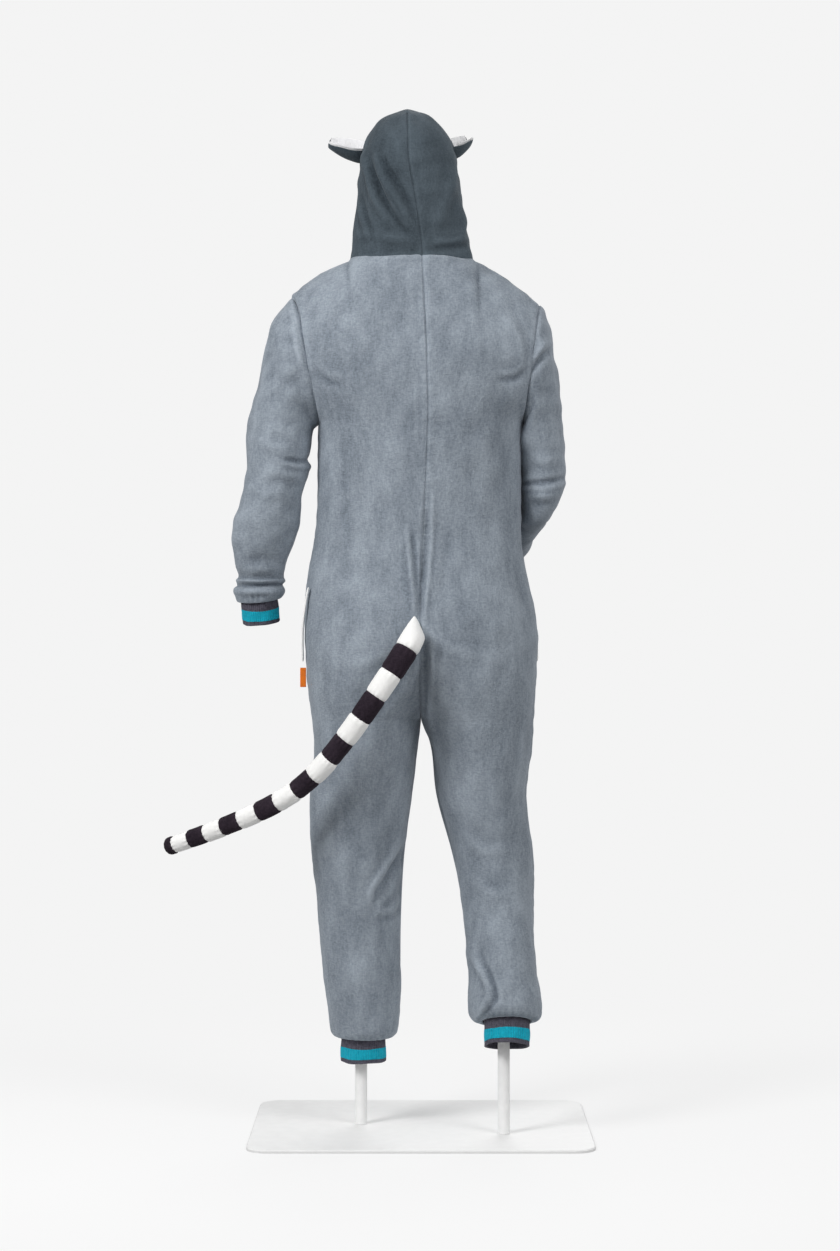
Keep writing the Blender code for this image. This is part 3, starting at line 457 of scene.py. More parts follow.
def armhole_row(side, face, turn, inset, shares):
    """A row beside the armhole's lower half. turn runs from 0 at the armpit to 1 at the armhole's middle."""
    middle = armhole_middle(side)
    height = middle - (middle - ARMPIT_Z) * math.cos(turn * math.pi / 2)
    depth = torso_half(side, height)[1][face] - inset
    edge = (ARMHOLE_DEPTH - inset) * math.sin(turn * math.pi / 2)
    first = math.asin(edge / depth)
    angles = first + shares * (math.pi / 2 - first)
    reach = (armhole_x(side, height) - inset * (1 - turn)) / math.cos(first)
    x = np.maximum(reach * np.cos(angles), middle_gap(face, height))
    y = np.maximum(depth * np.sin(angles), 0.0)
    return np.stack([side * x, face * y, np.full_like(x, height)], axis=1)


def yoke_row(side, face, turn, inset, shares):
    """A row above the armhole's middle. turn runs from 0 there to 1 along the shoulder and the neck."""
    lower = armhole_row(side, face, 1.0, inset, shares)
    x = np.abs(lower[:, 0])
    middle = armhole_middle(side)
    neck = NECK_HALF_WIDTH[side]
    tip_x, tip_z = SHOULDER_TIP_X[side], SHOULDER_TIP_Z[side]
    grown = x / x[0] * (x[0] + (tip_x - x[0]) * turn)
    grown = np.maximum(grown, middle_gap(face, middle))
    along = ramp(tip_x - grown, tip_x - neck)
    on_neck = ramp(grown, neck)
    end_y = (NECK_DEPTH[face] - inset * 0.4) * np.sqrt(1 - on_neck**2)
    end_z = tip_z + (NECK_SIDE_Z - tip_z) * along + (NECK_CENTRE_Z[face] - NECK_SIDE_Z) * (1 - on_neck)
    end_z += SHOULDER_CROWN[side] * np.sin(math.pi * along) - inset * (grown > neck)
    straight = YOKE_STRAIGHTNESS * (1 - on_neck)
    rise = (1 - straight) * math.sin(turn * math.pi / 2) + straight * turn
    keep = (1 - straight) * math.cos(turn * math.pi / 2) + straight * (1 - turn)
    y = end_y + (np.abs(lower[:, 1]) - end_y) * keep
    z = middle + (end_z - middle) * rise
    return np.stack([side * grown, face * np.maximum(y, 0.0), z], axis=1)


PANEL_COLUMNS = 92
LEG_ROWS, SEAT_ROWS, TORSO_ROWS, ARMHOLE_ROWS, YOKE_ROWS = 190, 60, 70, 34, 44
SEAM_CLUSTER = 0.72
# How far above and below the turn it is rounded, over what height, and how far in from the side edge.
EASE_SPAN, EASE_REACH, EASE_EDGE = 0.055, 0.022, 0.040


def ease_turn(grid, height):
    """Rounds the panel's change of slope at one height, away from its side edge."""
    level = np.abs(grid[:, 0, 2] - height) < 3 * EASE_SPAN
    level &= np.ptp(grid[..., 2], axis=1) < 0.001
    rows = np.nonzero(level)[0]
    band = grid[rows]
    heights = band[:, 0, 2]
    widths = np.linspace(0.0, np.abs(band[..., 0]).max(), 240)
    depths = np.array([np.interp(widths, np.abs(row[::-1, 0]), row[::-1, 1]) for row in band])
    near = bell(heights[:, None] - heights, EASE_REACH) * np.gradient(heights)
    eased = near @ depths / near.sum(axis=1)[:, None]
    share = bell(heights - height, EASE_SPAN, 4)[:, None]
    share = share * ramp(edge_distance(band, 1)[0], EASE_EDGE)
    for row, line, part in zip(rows, eased, share):
        grid[row, :, 1] += (np.interp(np.abs(grid[row, :, 0]), widths, line) - grid[row, :, 1]) * part
    return grid


def panel_grid(side, face, inset):
    """All rows of one body panel, from the ankle hem to the shoulder and neck."""
    shares = clustered(PANEL_COLUMNS, SEAM_CLUSTER)
    seat = CROTCH_Z + (HIP_Z - CROTCH_Z) * np.linspace(0.0, 1.0, SEAT_ROWS) ** 2
    trunk = np.linspace(HIP_Z, ARMPIT_Z, TORSO_ROWS)[1:-1]
    rows = leg_rows(side, face, inset, LEG_ROWS, shares)
    rows += [torso_row(side, face, height, inset, shares) for height in [*seat, *trunk]]
    rows += [armhole_row(side, face, turn, inset, shares) for turn in np.linspace(0.0, 1.0, ARMHOLE_ROWS)]
    rows += [yoke_row(side, face, turn, inset, shares) for turn in clustered(YOKE_ROWS, 0.6)[1:]]
    grid = np.array(rows)
    if face == BACK:
        for row in grid[LEG_ROWS:]:
            reach = np.abs(row[:, 0])
            row[:, 0] += back_seam_at(row[-1, 2])[1] * (1 - reach / reach.max())
    return relax(ease_turn(grid, ARMPIT_Z), 10)


def armhole_ring(side, inset, angles, shift):
    """A ring along the armhole seam, moved shift out along the sleeve."""
    middle = armhole_middle(side)
    z = middle + (SHOULDER_TIP_Z[side] - middle - inset) * np.cos(angles) + 0.001
    y = (ARMHOLE_DEPTH - inset) * np.sin(angles)
    return np.stack([side * (armhole_x(side, z) + shift), y, z], axis=1)


SLEEVE_TUCK = 0.012
SLEEVE_TUCK_IN = 0.006
TUCK_ROWS, JOIN_ROWS, SLEEVE_ROWS, SLEEVE_COLUMNS = 5, 15, 210, 132


def tilted_axes(half, depth, bend, inset):
    """The two half axes of a sleeve section, less the inset: across the limb, and along its bend."""
    across = np.array([half[0], 0.0, half[1]])
    across = across * (1 - inset / np.linalg.norm(across))
    return across, np.array([0.0, math.cos(bend), math.sin(bend)]) * (depth - inset)


def sleeve_grid(side, inset):
    """The sleeve as rings from just inside the armhole seam to the hem."""
    angles = circle(SLEEVE_COLUMNS)
    bases = [(*centre, *half, depth, math.radians(bend)) for centre, half, depth, bend in SLEEVE[side]]
    rings = []
    for row in smooth_rows(bases, SLEEVE_ROWS):
        across, along = tilted_axes(row[3:5], row[5], row[6], inset)
        rings.append(row[:3] + oval(angles, across, along))
    tucked = armhole_ring(side, inset + SLEEVE_TUCK_IN, angles, -SLEEVE_TUCK)
    seam = armhole_ring(side, inset, angles, 0.001)
    joined = [tucked + (seam - tucked) * share for share in np.linspace(0.0, 1.0, TUCK_ROWS + 1)[:-1]]
    joined += [seam + (rings[0] - seam) * share for share in np.linspace(0.0, 1.0, JOIN_ROWS + 1)[:-1]]
    grid = np.array(joined + rings)
    keep = np.zeros(grid.shape[:2] + (1,))
    keep[:TUCK_ROWS] = 1.0
    return relax(grid, 12, keep)


# ---- hood and cuff sections


def hood_rise(height):
    """How far up the dome a height is: 0 at the hood's widest, 1 at the crown."""
    return clamp((height - HOOD[-1][0]) / (HOOD_TOP_Z - HOOD[-1][0]))


def hood_section(height):
    """Seam x, left x, right x, back depth and front depth of the hood at a height."""
    if height <= HOOD[-1][0]:
        return hood_at(height)[1:]
    _, seam, left, right, back, front = HOOD[-1]
    rise = hood_rise(height)
    narrow = max(0.0, 1 - rise**2) ** HOOD_DOME_POWER
    shallow = math.sqrt(1 - HOOD_RIDGE_SHARE * rise**2)
    seam -= HOOD_SEAM_DRIFT * rise
    left, right = (seam + (edge - seam) * narrow for edge in (left, right))
    return seam, left, right, back * shallow, front * shallow


def hood_row(side, height, inset, shares):
    """A row of one hood half, from the seam at the back to the face opening or the seam in front."""
    seam, left, right, back, front = hood_section(height)
    width = max(abs((left if side == LEFT else right) - seam) - inset, HOOD_LEAST_WIDTH)
    reach = 0.0
    if height > FACE_Z - FACE_HALF_HEIGHT:
        opening = FACE_HALF_WIDTH * round_off((height - FACE_Z) / FACE_HALF_HEIGHT)
        reach = max(opening + side * (FACE_X - seam), 0.0) if opening > 0 else 0.0
    angles = shares * (math.pi - math.asin(min(reach / width, 0.98)))
    depth = np.where(angles < math.pi / 2, back - inset, front - inset)
    x = np.maximum(width * np.sin(angles), 0.0)
    y = -depth * np.cos(angles)
    z = height - (HOOD_RIDGE_FALL * (y / back) ** 2 + inset) * hood_rise(height) ** 2
    return np.stack([seam + side * x, y, z], axis=1)


def hood_heights(rows):
    """Heights of the hood's rows: even up to the face opening's top, then closing in on the crown."""
    top_edge = FACE_Z + FACE_HALF_HEIGHT
    mouth = FACE_Z - FACE_HALF_HEIGHT * np.cos(np.linspace(MOUTH_START, math.pi, rows // 2))
    lower = np.linspace(HOOD[0][0] - HOOD_NECK_TUCK, mouth[0], 4)[:-1]
    dome = top_edge + (HOOD_TOP_Z - top_edge) * np.sin(np.linspace(0.0, math.pi / 2, rows - rows // 2))[1:]
    return [*lower, *mouth, *dome]


def hood_front_y(x, height):
    """How far forward the hood's surface lies at a place beside the face opening."""
    seam, left, right, _, front = hood_section(height)
    return front * round_off((x - seam) / ((left if x < seam else right) - seam))


def outside_hood(point, clearance):
    """The point, moved straight out from the hood's middle where it would lie inside the hood."""
    seam, left, right, back, front = hood_section(point[2])
    width = abs((left if point[0] < seam else right) - seam) + clearance
    depth = (back if point[1] < 0 else front) + clearance
    reach = math.hypot((point[0] - seam) / width, point[1] / depth)
    if reach >= 1:
        return point
    return np.array([seam + (point[0] - seam) / reach, point[1] / reach, point[2]])


CUFF_WALL = 0.0035
CUFF_LENGTH = 0.050
CUFF_OVERLAP = 0.006
CUFF_INSET = 0.0058
STRIPE_FROM, STRIPE_TO = 0.45, 0.85
STRIPE_LIFT, STRIPE_WALL = 0.0003, 0.0011
RIBS = 56
RIB_DEPTH = 0.0007


def cuff_frames():
    """Each cuff's name, first centre, axis down the limb, and its two half axes."""
    frames = {}
    for side, word in SIDES:
        height, x, y, width, depth, tilt = LEG[side][-1]
        down = unit(np.array([0.0, tilt, -1.0]))
        across = np.array([1.0, 0.0, 0.0]) * (width - CUFF_INSET)
        along = unit(np.array([0.0, 1.0, tilt])) * (depth - CUFF_INSET)
        top = np.array([side * x, y, height]) - down * CUFF_OVERLAP
        frames[f"ankle_cuff_{word}"] = (top, down, across, along)
        centre, half, depth, bend = SLEEVE[side][-1]
        across, along = tilted_axes(half, depth, math.radians(bend), CUFF_INSET)
        down = unit(np.cross(across, along))
        down *= np.sign(np.dot(down, np.subtract(SLEEVE[side][-2][0], SLEEVE[side][-4][0])))
        frames[f"wrist_cuff_{word}"] = (np.array(centre) - down * CUFF_OVERLAP, down, across, along)
    return frames


# ---- materials


def new_material(name):
    material = bpy.data.materials.new(name)
    material.use_nodes = True
    return material, material.node_tree


def put(tree, socket, value):
    """Sets a socket to a number, a vector or a colour, or links another node's output to it."""
    if isinstance(value, bpy.types.NodeSocket):
        tree.links.new(value, socket)
    else:
        socket.default_value = (*value, 1.0) if socket.type == "RGBA" else value


def feed(tree, node, **inputs):
    """Puts values in a node's inputs. Their names are written with _ for a space."""
    for name, value in inputs.items():
        put(tree, node.inputs[name.replace("_", " ")], value)
    return node


def add_node(tree, kind, **inputs):
    return feed(tree, tree.nodes.new(kind), **inputs)


def noise(tree, scale, stretch=(1.0, 1.0, 1.0), detail=3.0, rough=0.55):
    """A noise texture in object space. Its features are 1/scale metres across, longer where stretched."""
    place = add_node(tree, "ShaderNodeTexCoord").outputs["Object"]
    mapping = add_node(tree, "ShaderNodeMapping", Vector=place, Scale=[1 / part for part in stretch])
    node = add_node(tree, "ShaderNodeTexNoise", Vector=mapping.outputs["Vector"], Scale=scale)
    return feed(tree, node, Detail=detail, Roughness=rough).outputs["Fac"]


def ranged(tree, value, low, high, to_low=0.0, to_high=1.0, shape="SMOOTHSTEP"):
    """The value taken from one range to another."""
    node = add_node(tree, "ShaderNodeMapRange", Value=value, From_Min=low, From_Max=high)
    feed(tree, node, To_Min=to_low, To_Max=to_high)
    node.interpolation_type = shape
    return node.outputs["Result"]


def mixed(tree, factor, first, second):
    """Two colours mixed by a factor."""
    node = add_node(tree, "ShaderNodeMix")
    node.data_type = "RGBA"
    put(tree, node.inputs["Factor"], factor)
    put(tree, node.inputs[6], first)
    put(tree, node.inputs[7], second)
    return node.outputs[2]


def summed(tree, parts):
    """A sum of (socket, share) pairs."""
    total = 0.0
    for socket, share in parts:
        node = add_node(tree, "ShaderNodeMath")
        node.operation = "MULTIPLY_ADD"
        for number, value in enumerate((socket, share, total)):
            put(tree, node.inputs[number], value)
        total = node.outputs[0]
    return total


def bumped(tree, shader, height, distance):
    bump = add_node(tree, "ShaderNodeBump", Height=height, Distance=distance, Strength=1.0)
    feed(tree, shader, Normal=bump.outputs["Normal"])


NAP_PATCH, NAP_STREAK = (0.060, 0.060, 0.120), (0.018, 0.018, 0.072)
MOTTLE_SCALE, MOTTLE_STRETCH = 230.0, (0.7, 0.7, 1.9)
TUFT_SCALE, TUFT_STRETCH = 330.0, (2.2, 2.2, 0.8)
NAP_RANGE, PILE_RANGE, WEAR_RANGE = (0.34, 0.66), (0.30, 0.70), (0.3, 0.7)
# Painted light on folds: the pointiness range over which ridges are painted paler and hollows darker, and how
# strong that is.
FOLD_LIGHT_RANGE = (0.470, 0.530)
FOLD_LIGHT_SHARE = 0.95
TIGHTEN = -0.03
STREAK_SHARE = 0.55


def fleece(name, light, dark, nap=0.5, pile=0.0009, sheen=0.3, grain=0.34, lean=()):
    """Short-pile fleece: soft patches where the nap lies another way, a fine tufted pile, and painted light
    that makes ridges paler and hollows darker by the mesh's pointiness.

    lean is (x from, x to, share): painted light, the cloth painted lighter towards +X as on its better lit
    side."""
    material, tree = new_material(name)
    shader = tree.nodes["Principled BSDF"]
    broad = noise(tree, 1.0, NAP_PATCH, detail=2.5, rough=0.5)
    streaks = noise(tree, 1.0, NAP_STREAK, detail=2.0)
    mottle = noise(tree, MOTTLE_SCALE, MOTTLE_STRETCH, detail=2.0, rough=0.6)
    tufts = noise(tree, TUFT_SCALE, TUFT_STRETCH, detail=2.0, rough=0.6)
    parts = [(ranged(tree, broad, *NAP_RANGE), nap), (ranged(tree, streaks, *NAP_RANGE), nap * STREAK_SHARE)]
    parts += [(ranged(tree, value, *PILE_RANGE), grain) for value in (mottle, tufts)]
    # Painted light: the cloth painted lighter towards +X.
    if lean:
        place = add_node(tree, "ShaderNodeTexCoord").outputs["Object"]
        across = add_node(tree, "ShaderNodeSeparateXYZ", Vector=place).outputs["X"]
        parts.append((ranged(tree, across, lean[0], lean[1]), lean[2]))
    total = sum(share for _, share in parts)
    # Painted light: convex ridges painted paler and hollows painted darker, from the mesh's pointiness.
    painted_fold_light = add_node(tree, "ShaderNodeNewGeometry").outputs["Pointiness"]
    parts.append((ranged(tree, painted_fold_light, *FOLD_LIGHT_RANGE), FOLD_LIGHT_SHARE))
    low, high = FOLD_LIGHT_SHARE / 2 + total * TIGHTEN, FOLD_LIGHT_SHARE / 2 + total * (1 - TIGHTEN)
    blend = ranged(tree, summed(tree, parts), low, high, shape="LINEAR")
    tint = [min(1.0, 0.35 + part) for part in light]
    feed(tree, shader, Base_Color=mixed(tree, blend, dark, light), Roughness=1.0, Specular_IOR_Level=0.1)
    feed(tree, shader, Sheen_Weight=sheen, Sheen_Roughness=0.4, Sheen_Tint=tint)
    bumped(tree, shader, summed(tree, [(tufts, 1.0), (mottle, 1.2)]), pile)
    return material


def knit(name, light, dark):
    """Rib knit: the ribs are in the mesh, so this adds the stitches and some lint."""
    material, tree = new_material(name)
    shader = tree.nodes["Principled BSDF"]
    stitches = noise(tree, 900.0, (1.0, 1.0, 1.5), detail=2.0)
    lint = noise(tree, 160.0)
    blend = ranged(tree, summed(tree, [(stitches, 0.7), (lint, 0.5)]), 0.40, 0.80)
    feed(tree, shader, Base_Color=mixed(tree, blend, dark, light), Roughness=0.95)
    feed(tree, shader, Specular_IOR_Level=0.15, Sheen_Weight=0.15)
    bumped(tree, shader, stitches, 0.0005)
    return material


def smooth_finish(name, colour, roughness, metallic=0.0, grain=0.0, grain_scale=300.0, coat=0.0, worn=0.12):
    """Metal, plastic, tape or paint: one colour with slight worn variation and a fine grain."""
    material, tree = new_material(name)
    shader = tree.nodes["Principled BSDF"]
    wear = noise(tree, 45.0, detail=4.0)
    lighter = [min(1.0, part * (1 + worn)) for part in colour]
    darker = [part * (1 - worn) for part in colour]
    paint = mixed(tree, ranged(tree, wear, *WEAR_RANGE), darker, lighter)
    rough = ranged(tree, wear, *WEAR_RANGE, roughness * 0.9, min(1.0, roughness * 1.15))
    feed(tree, shader, Base_Color=paint, Roughness=rough, Metallic=metallic, Coat_Weight=coat)
    if grain:
        bumped(tree, shader, noise(tree, grain_scale, detail=2.0), grain)
    return material


BODY = fleece("body_fleece", (0.360, 0.406, 0.460), (0.136, 0.162, 0.196), sheen=0.4, grain=0.46)
# The hood's lean is painted light: the hood painted lighter towards its right side, +X.
HOOD_CLOTH = fleece(
    "hood_fleece", (0.105, 0.133, 0.157), (0.033, 0.044, 0.054), grain=0.46, lean=(-0.07, 0.03, 0.6)
)
WHITE = fleece("white_fleece", (0.97, 0.965, 0.95), (0.88, 0.875, 0.86), nap=0.2, pile=0.0004, sheen=0.1)
EAR_WHITE = fleece("ear_plush", (0.99, 0.985, 0.99), (0.93, 0.925, 0.94), nap=0.2, sheen=0.3)
BLACK = fleece("black_fleece", (0.036, 0.026, 0.036), (0.010, 0.007, 0.011), nap=0.3, pile=0.0004, sheen=0.12)
RIB = knit("rib_knit", (0.115, 0.110, 0.142), (0.055, 0.052, 0.070))
TEAL = knit("teal_knit", (0.008, 0.450, 0.590), (0.004, 0.300, 0.420))
METAL = smooth_finish("zip_metal", (0.60, 0.61, 0.63), 0.34, metallic=1.0)
WEBBING = smooth_finish("orange_webbing", (0.95, 0.205, 0.006), 0.75, grain=0.0004, grain_scale=900.0)
EYE = smooth_finish("amber_eye", (0.62, 0.23, 0.02), 0.12, coat=0.6)
NOSE = fleece("nose_felt", (0.030, 0.028, 0.030), (0.012, 0.011, 0.012), nap=0.1, sheen=0.1)
PAINT = smooth_finish("stand_paint", (0.86, 0.86, 0.855), 0.5, grain=0.00012, grain_scale=700.0, worn=0.02)


# ---- folds of the worn cloth


# The valley beside a fold, as shares of the fold's own half width and height.
VALLEY_PLACE, VALLEY_WIDTH, VALLEY_DEPTH = 1.7, 1.1, 0.55
FOLD_END, FOLD_FADE_POWER = 0.02, 0.6


def fold_lift(x, z, path, height, width):
    """A soft ridge along a path in the x-z plane, with a shallow valley beside it, fading at both ends."""
    line = smooth_rows(path, 40)
    gap = np.stack([x, z], axis=-1)[..., None, :] - line
    distance = np.linalg.norm(gap, axis=-1)
    nearest = distance.argmin(axis=-1)
    far = distance.min(axis=-1)
    near_gap = np.take_along_axis(gap, nearest[..., None, None], axis=-2)[..., 0, :]
    tangent = unit(np.gradient(line, axis=0))[nearest]
    signed = tangent[..., 0] * near_gap[..., 1] - tangent[..., 1] * near_gap[..., 0]
    along = np.clip(nearest / (len(line) - 1), FOLD_END, 1 - FOLD_END)
    fade = np.sin(math.pi * along) ** FOLD_FADE_POWER
    valley = bell(signed - VALLEY_PLACE * width, VALLEY_WIDTH * width) * bell(far, 3 * width, 4)
    return height * fade * (bell(far, width) - VALLEY_DEPTH * valley)


def drape(grid, folds):
    """How far all of the folds together lift the grid's points."""
    return sum(fold_lift(grid[..., 0], grid[..., 2], *fold) for fold in folds)


# Folds of each face: path of (x, z), height and half width. The valley lies left of the path's direction.
BACK_FOLDS = [
    # the seat's pleat beside the middle seam, down to the tail, and the cleft under the tail
    ([(-0.026, 1.105), (-0.019, 1.035), (-0.011, 0.948)], 0.0065, 0.006),
    ([(0.012, 1.180), (0.009, 1.090), (0.003, 1.010), (-0.002, 0.950)], -0.0085, 0.006),
    ([(0.030, 1.110), (0.026, 1.040), (0.012, 0.960)], 0.0024, 0.012),
    ([(0.005, 0.905), (0.006, 0.850), (0.007, 0.768)], -0.0105, 0.008),
    ([(0.040, 0.890), (0.034, 0.830), (0.040, 0.770)], 0.0035, 0.014),
    # shoulder blades and armholes
    ([(-0.150, 1.500), (-0.110, 1.455), (-0.070, 1.400)], 0.0022, 0.018),
    ([(0.150, 1.490), (0.178, 1.440), (0.190, 1.385)], 0.0030, 0.010),
    ([(0.140, 1.372), (0.172, 1.376), (0.196, 1.396)], -0.0040, 0.007),
    ([(-0.195, 1.392), (-0.172, 1.372), (-0.140, 1.362)], -0.0030, 0.008),
    # long soft folds down the back
    ([(-0.105, 1.380), (-0.112, 1.260), (-0.100, 1.130)], 0.0026, 0.022),
    ([(0.110, 1.360), (0.120, 1.240), (0.112, 1.110)], 0.0026, 0.022),
    ([(-0.150, 1.300), (-0.160, 1.200), (-0.158, 1.090)], 0.0022, 0.014),
    # seat folds running from the tail out to the legs
    ([(0.012, 0.915), (0.070, 0.880), (0.140, 0.868)], 0.0025, 0.014),
    ([(-0.030, 0.900), (-0.080, 0.868), (-0.140, 0.858)], 0.0028, 0.013),
    ([(-0.010, 0.860), (-0.028, 0.810), (-0.060, 0.765)], 0.004, 0.012),
    # left leg: the slanting folds behind the knee
    ([(-0.034, 0.540), (-0.060, 0.490), (-0.086, 0.452), (-0.094, 0.425)], 0.0080, 0.008),
    ([(-0.036, 0.500), (-0.056, 0.458), (-0.078, 0.425)], -0.0045, 0.007),
    ([(-0.032, 0.432), (-0.052, 0.408), (-0.080, 0.402)], 0.0035, 0.008),
    ([(-0.155, 0.600), (-0.140, 0.500), (-0.146, 0.400)], 0.0024, 0.014),
    # right leg: the soft bend at the knee and the slanting ridge above the cuff
    ([(0.070, 0.560), (0.110, 0.520), (0.160, 0.520)], 0.0030, 0.012),
    ([(0.094, 0.470), (0.130, 0.440), (0.170, 0.450)], 0.0024, 0.012),
    ([(0.098, 0.345), (0.102, 0.318), (0.122, 0.272), (0.114, 0.244), (0.100, 0.216)], 0.0085, 0.006),
    ([(0.118, 0.288), (0.128, 0.268), (0.136, 0.250)], -0.0035, 0.007),
]
FRONT_FOLDS = [
    ([(-0.160, 1.180), (-0.090, 1.145), (-0.010, 1.140)], 0.0040, 0.014),
    ([(0.160, 1.185), (0.090, 1.150), (0.010, 1.146)], 0.0040, 0.014),
    ([(-0.190, 1.330), (-0.130, 1.350), (-0.070, 1.400)], 0.004, 0.012),
    ([(0.180, 1.330), (0.130, 1.350), (0.070, 1.400)], 0.004, 0.012),
    ([(-0.010, 0.800), (-0.070, 0.830), (-0.150, 0.900)], 0.005, 0.012),
    ([(0.010, 0.800), (0.070, 0.830), (0.150, 0.900)], 0.005, 0.012),
    ([(-0.040, 0.560), (-0.095, 0.530), (-0.165, 0.545)], 0.005, 0.012),
    ([(0.070, 0.560), (0.110, 0.530), (0.175, 0.545)], 0.005, 0.012),
    ([(-0.050, 0.500), (-0.100, 0.470), (-0.155, 0.480)], 0.004, 0.011),
    ([(0.090, 0.490), (0.130, 0.465), (0.185, 0.480)], 0.004, 0.011),
    ([(-0.150, 0.250), (-0.108, 0.232), (-0.062, 0.244)], 0.004, 0.010),
    ([(0.112, 0.262), (0.155, 0.248), (0.205, 0.262)], 0.004, 0.010),
]


SEAM_DIP, SEAM_DIP_WIDTH = 0.0038, 0.0021
SEAM_SWELL, SEAM_SWELL_PLACE, SEAM_SWELL_WIDTH = 0.0009, 0.008, 0.005
PUCKER, PUCKER_SIZE, PUCKER_WIDTH = 0.0009, 0.024, 0.016
# How deep each seam is drawn in, as a share of a full seam.
SIDE_SEAM, MIDDLE_SEAM, SHOULDER_SEAM, ARMHOLE_SEAM, HOOD_SEAM = 0.7, 0.6, 0.8, 0.5, 0.6


def seam_profile(distance, grid, seed, share):
    """A share of the dip of a sewn seam, with a low swell beside it and small uneven puckers."""
    dip = SEAM_DIP * bell(distance, SEAM_DIP_WIDTH)
    swell = SEAM_SWELL * bell(distance - SEAM_SWELL_PLACE, SEAM_SWELL_WIDTH)
    return (swell - dip + waves(grid, seed, PUCKER_SIZE, PUCKER, 9) * bell(distance, PUCKER_WIDTH)) * share


def draped_piece(name, outer, inner, lift, normals, material, around=False):
    """A cloth wall between two grids, with both moved out along the normals."""
    moved = lift[..., None] * normals
    return wall_piece(f"cloth_{name}", outer + moved, inner + moved, material, around)


BODY_SWELL = {"seed": 5, "size": 0.150, "height": 0.0034, "stretch": (1.0, 1.0, 1.6)}
BODY_CRUMPLE = {"seed": 11, "size": 0.052, "count": 16, "stretch": (1.3, 1.0, 0.9)}
BODY_CRUMPLE_HEIGHT, MIDDLE_CRUMPLE_HEIGHT = 0.0010, 0.0006
SLEEVE_SWELL = {"size": 0.110, "height": 0.0026, "stretch": (1.0, 1.0, 1.4)}
SLEEVE_CRUMPLE = {"size": 0.042, "height": 0.0013, "count": 16}
HOOD_SWELL = {"seed": 101, "size": 0.090, "height": 0.0024, "stretch": (1.0, 1.0, 1.3)}
HOOD_CRUMPLE = {"seed": 103, "size": 0.040, "height": 0.0010}
# Distances from a side seam, a middle seam or crown, and a hem, within which the cloth lies quieter.
SIDE_QUIET = 0.03
SEAM_QUIET = 0.012
HEM_REACH = 0.02
# What is left of the folds, the crumples and all of the lift where the cloth lies quiet.
FOLD_CALM, CRUMPLE_CALM, HEM_CALM = 0.25, 0.4, 0.35
GATHER_PITCH, GATHER_HEIGHT, GATHER_REACH = 0.0125, 0.0006, 0.022


def panel_offset(grid, face):
    """How far the worn cloth lies off the plain section, as one number for each point."""
    run, left = edge_distance(grid, 1)
    rise, fall = edge_distance(grid, 0)
    quiet = ramp(run, SIDE_QUIET)
    lift = drape(grid, BACK_FOLDS if face == BACK else FRONT_FOLDS) * calmed(quiet, FOLD_CALM)
    crumple = waves(grid, height=BODY_CRUMPLE_HEIGHT, **BODY_CRUMPLE)
    lift += waves(grid, **BODY_SWELL) + crumple * calmed(quiet, CRUMPLE_CALM)
    lift += seam_profile(run, grid, 21 + face, SIDE_SEAM) + seam_profile(left, grid, 33 + face, MIDDLE_SEAM)
    lift += seam_profile(fall, grid, 41, SHOULDER_SEAM)
    gather = np.cos(grid[..., 0] * 2 * math.pi / GATHER_PITCH + waves(grid, 51, 0.05, 3.0, 6))
    lift += gather * GATHER_HEIGHT * bell(rise, GATHER_REACH) * quiet
    return lift * calmed(ramp(rise, HEM_REACH), HEM_CALM)


def make_panels():
    """Two front panels and two back panels, each from ankle hem to shoulder."""
    for side, word in SIDES:
        for face, where in ((FRONT, "front"), (BACK, "back")):
            outer, inner = (panel_grid(side, face, inset) for inset in (0.0, WALL))
            normals = grid_normals(outer, (0.0, face, 0.0))
            normals[..., 0] *= ramp(edge_distance(outer, 1)[1], SEAM_QUIET)
            name = f"{where}_panel_{word}"
            piece = draped_piece(name, outer, inner, panel_offset(outer, face), normals, BODY)
            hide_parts(name)


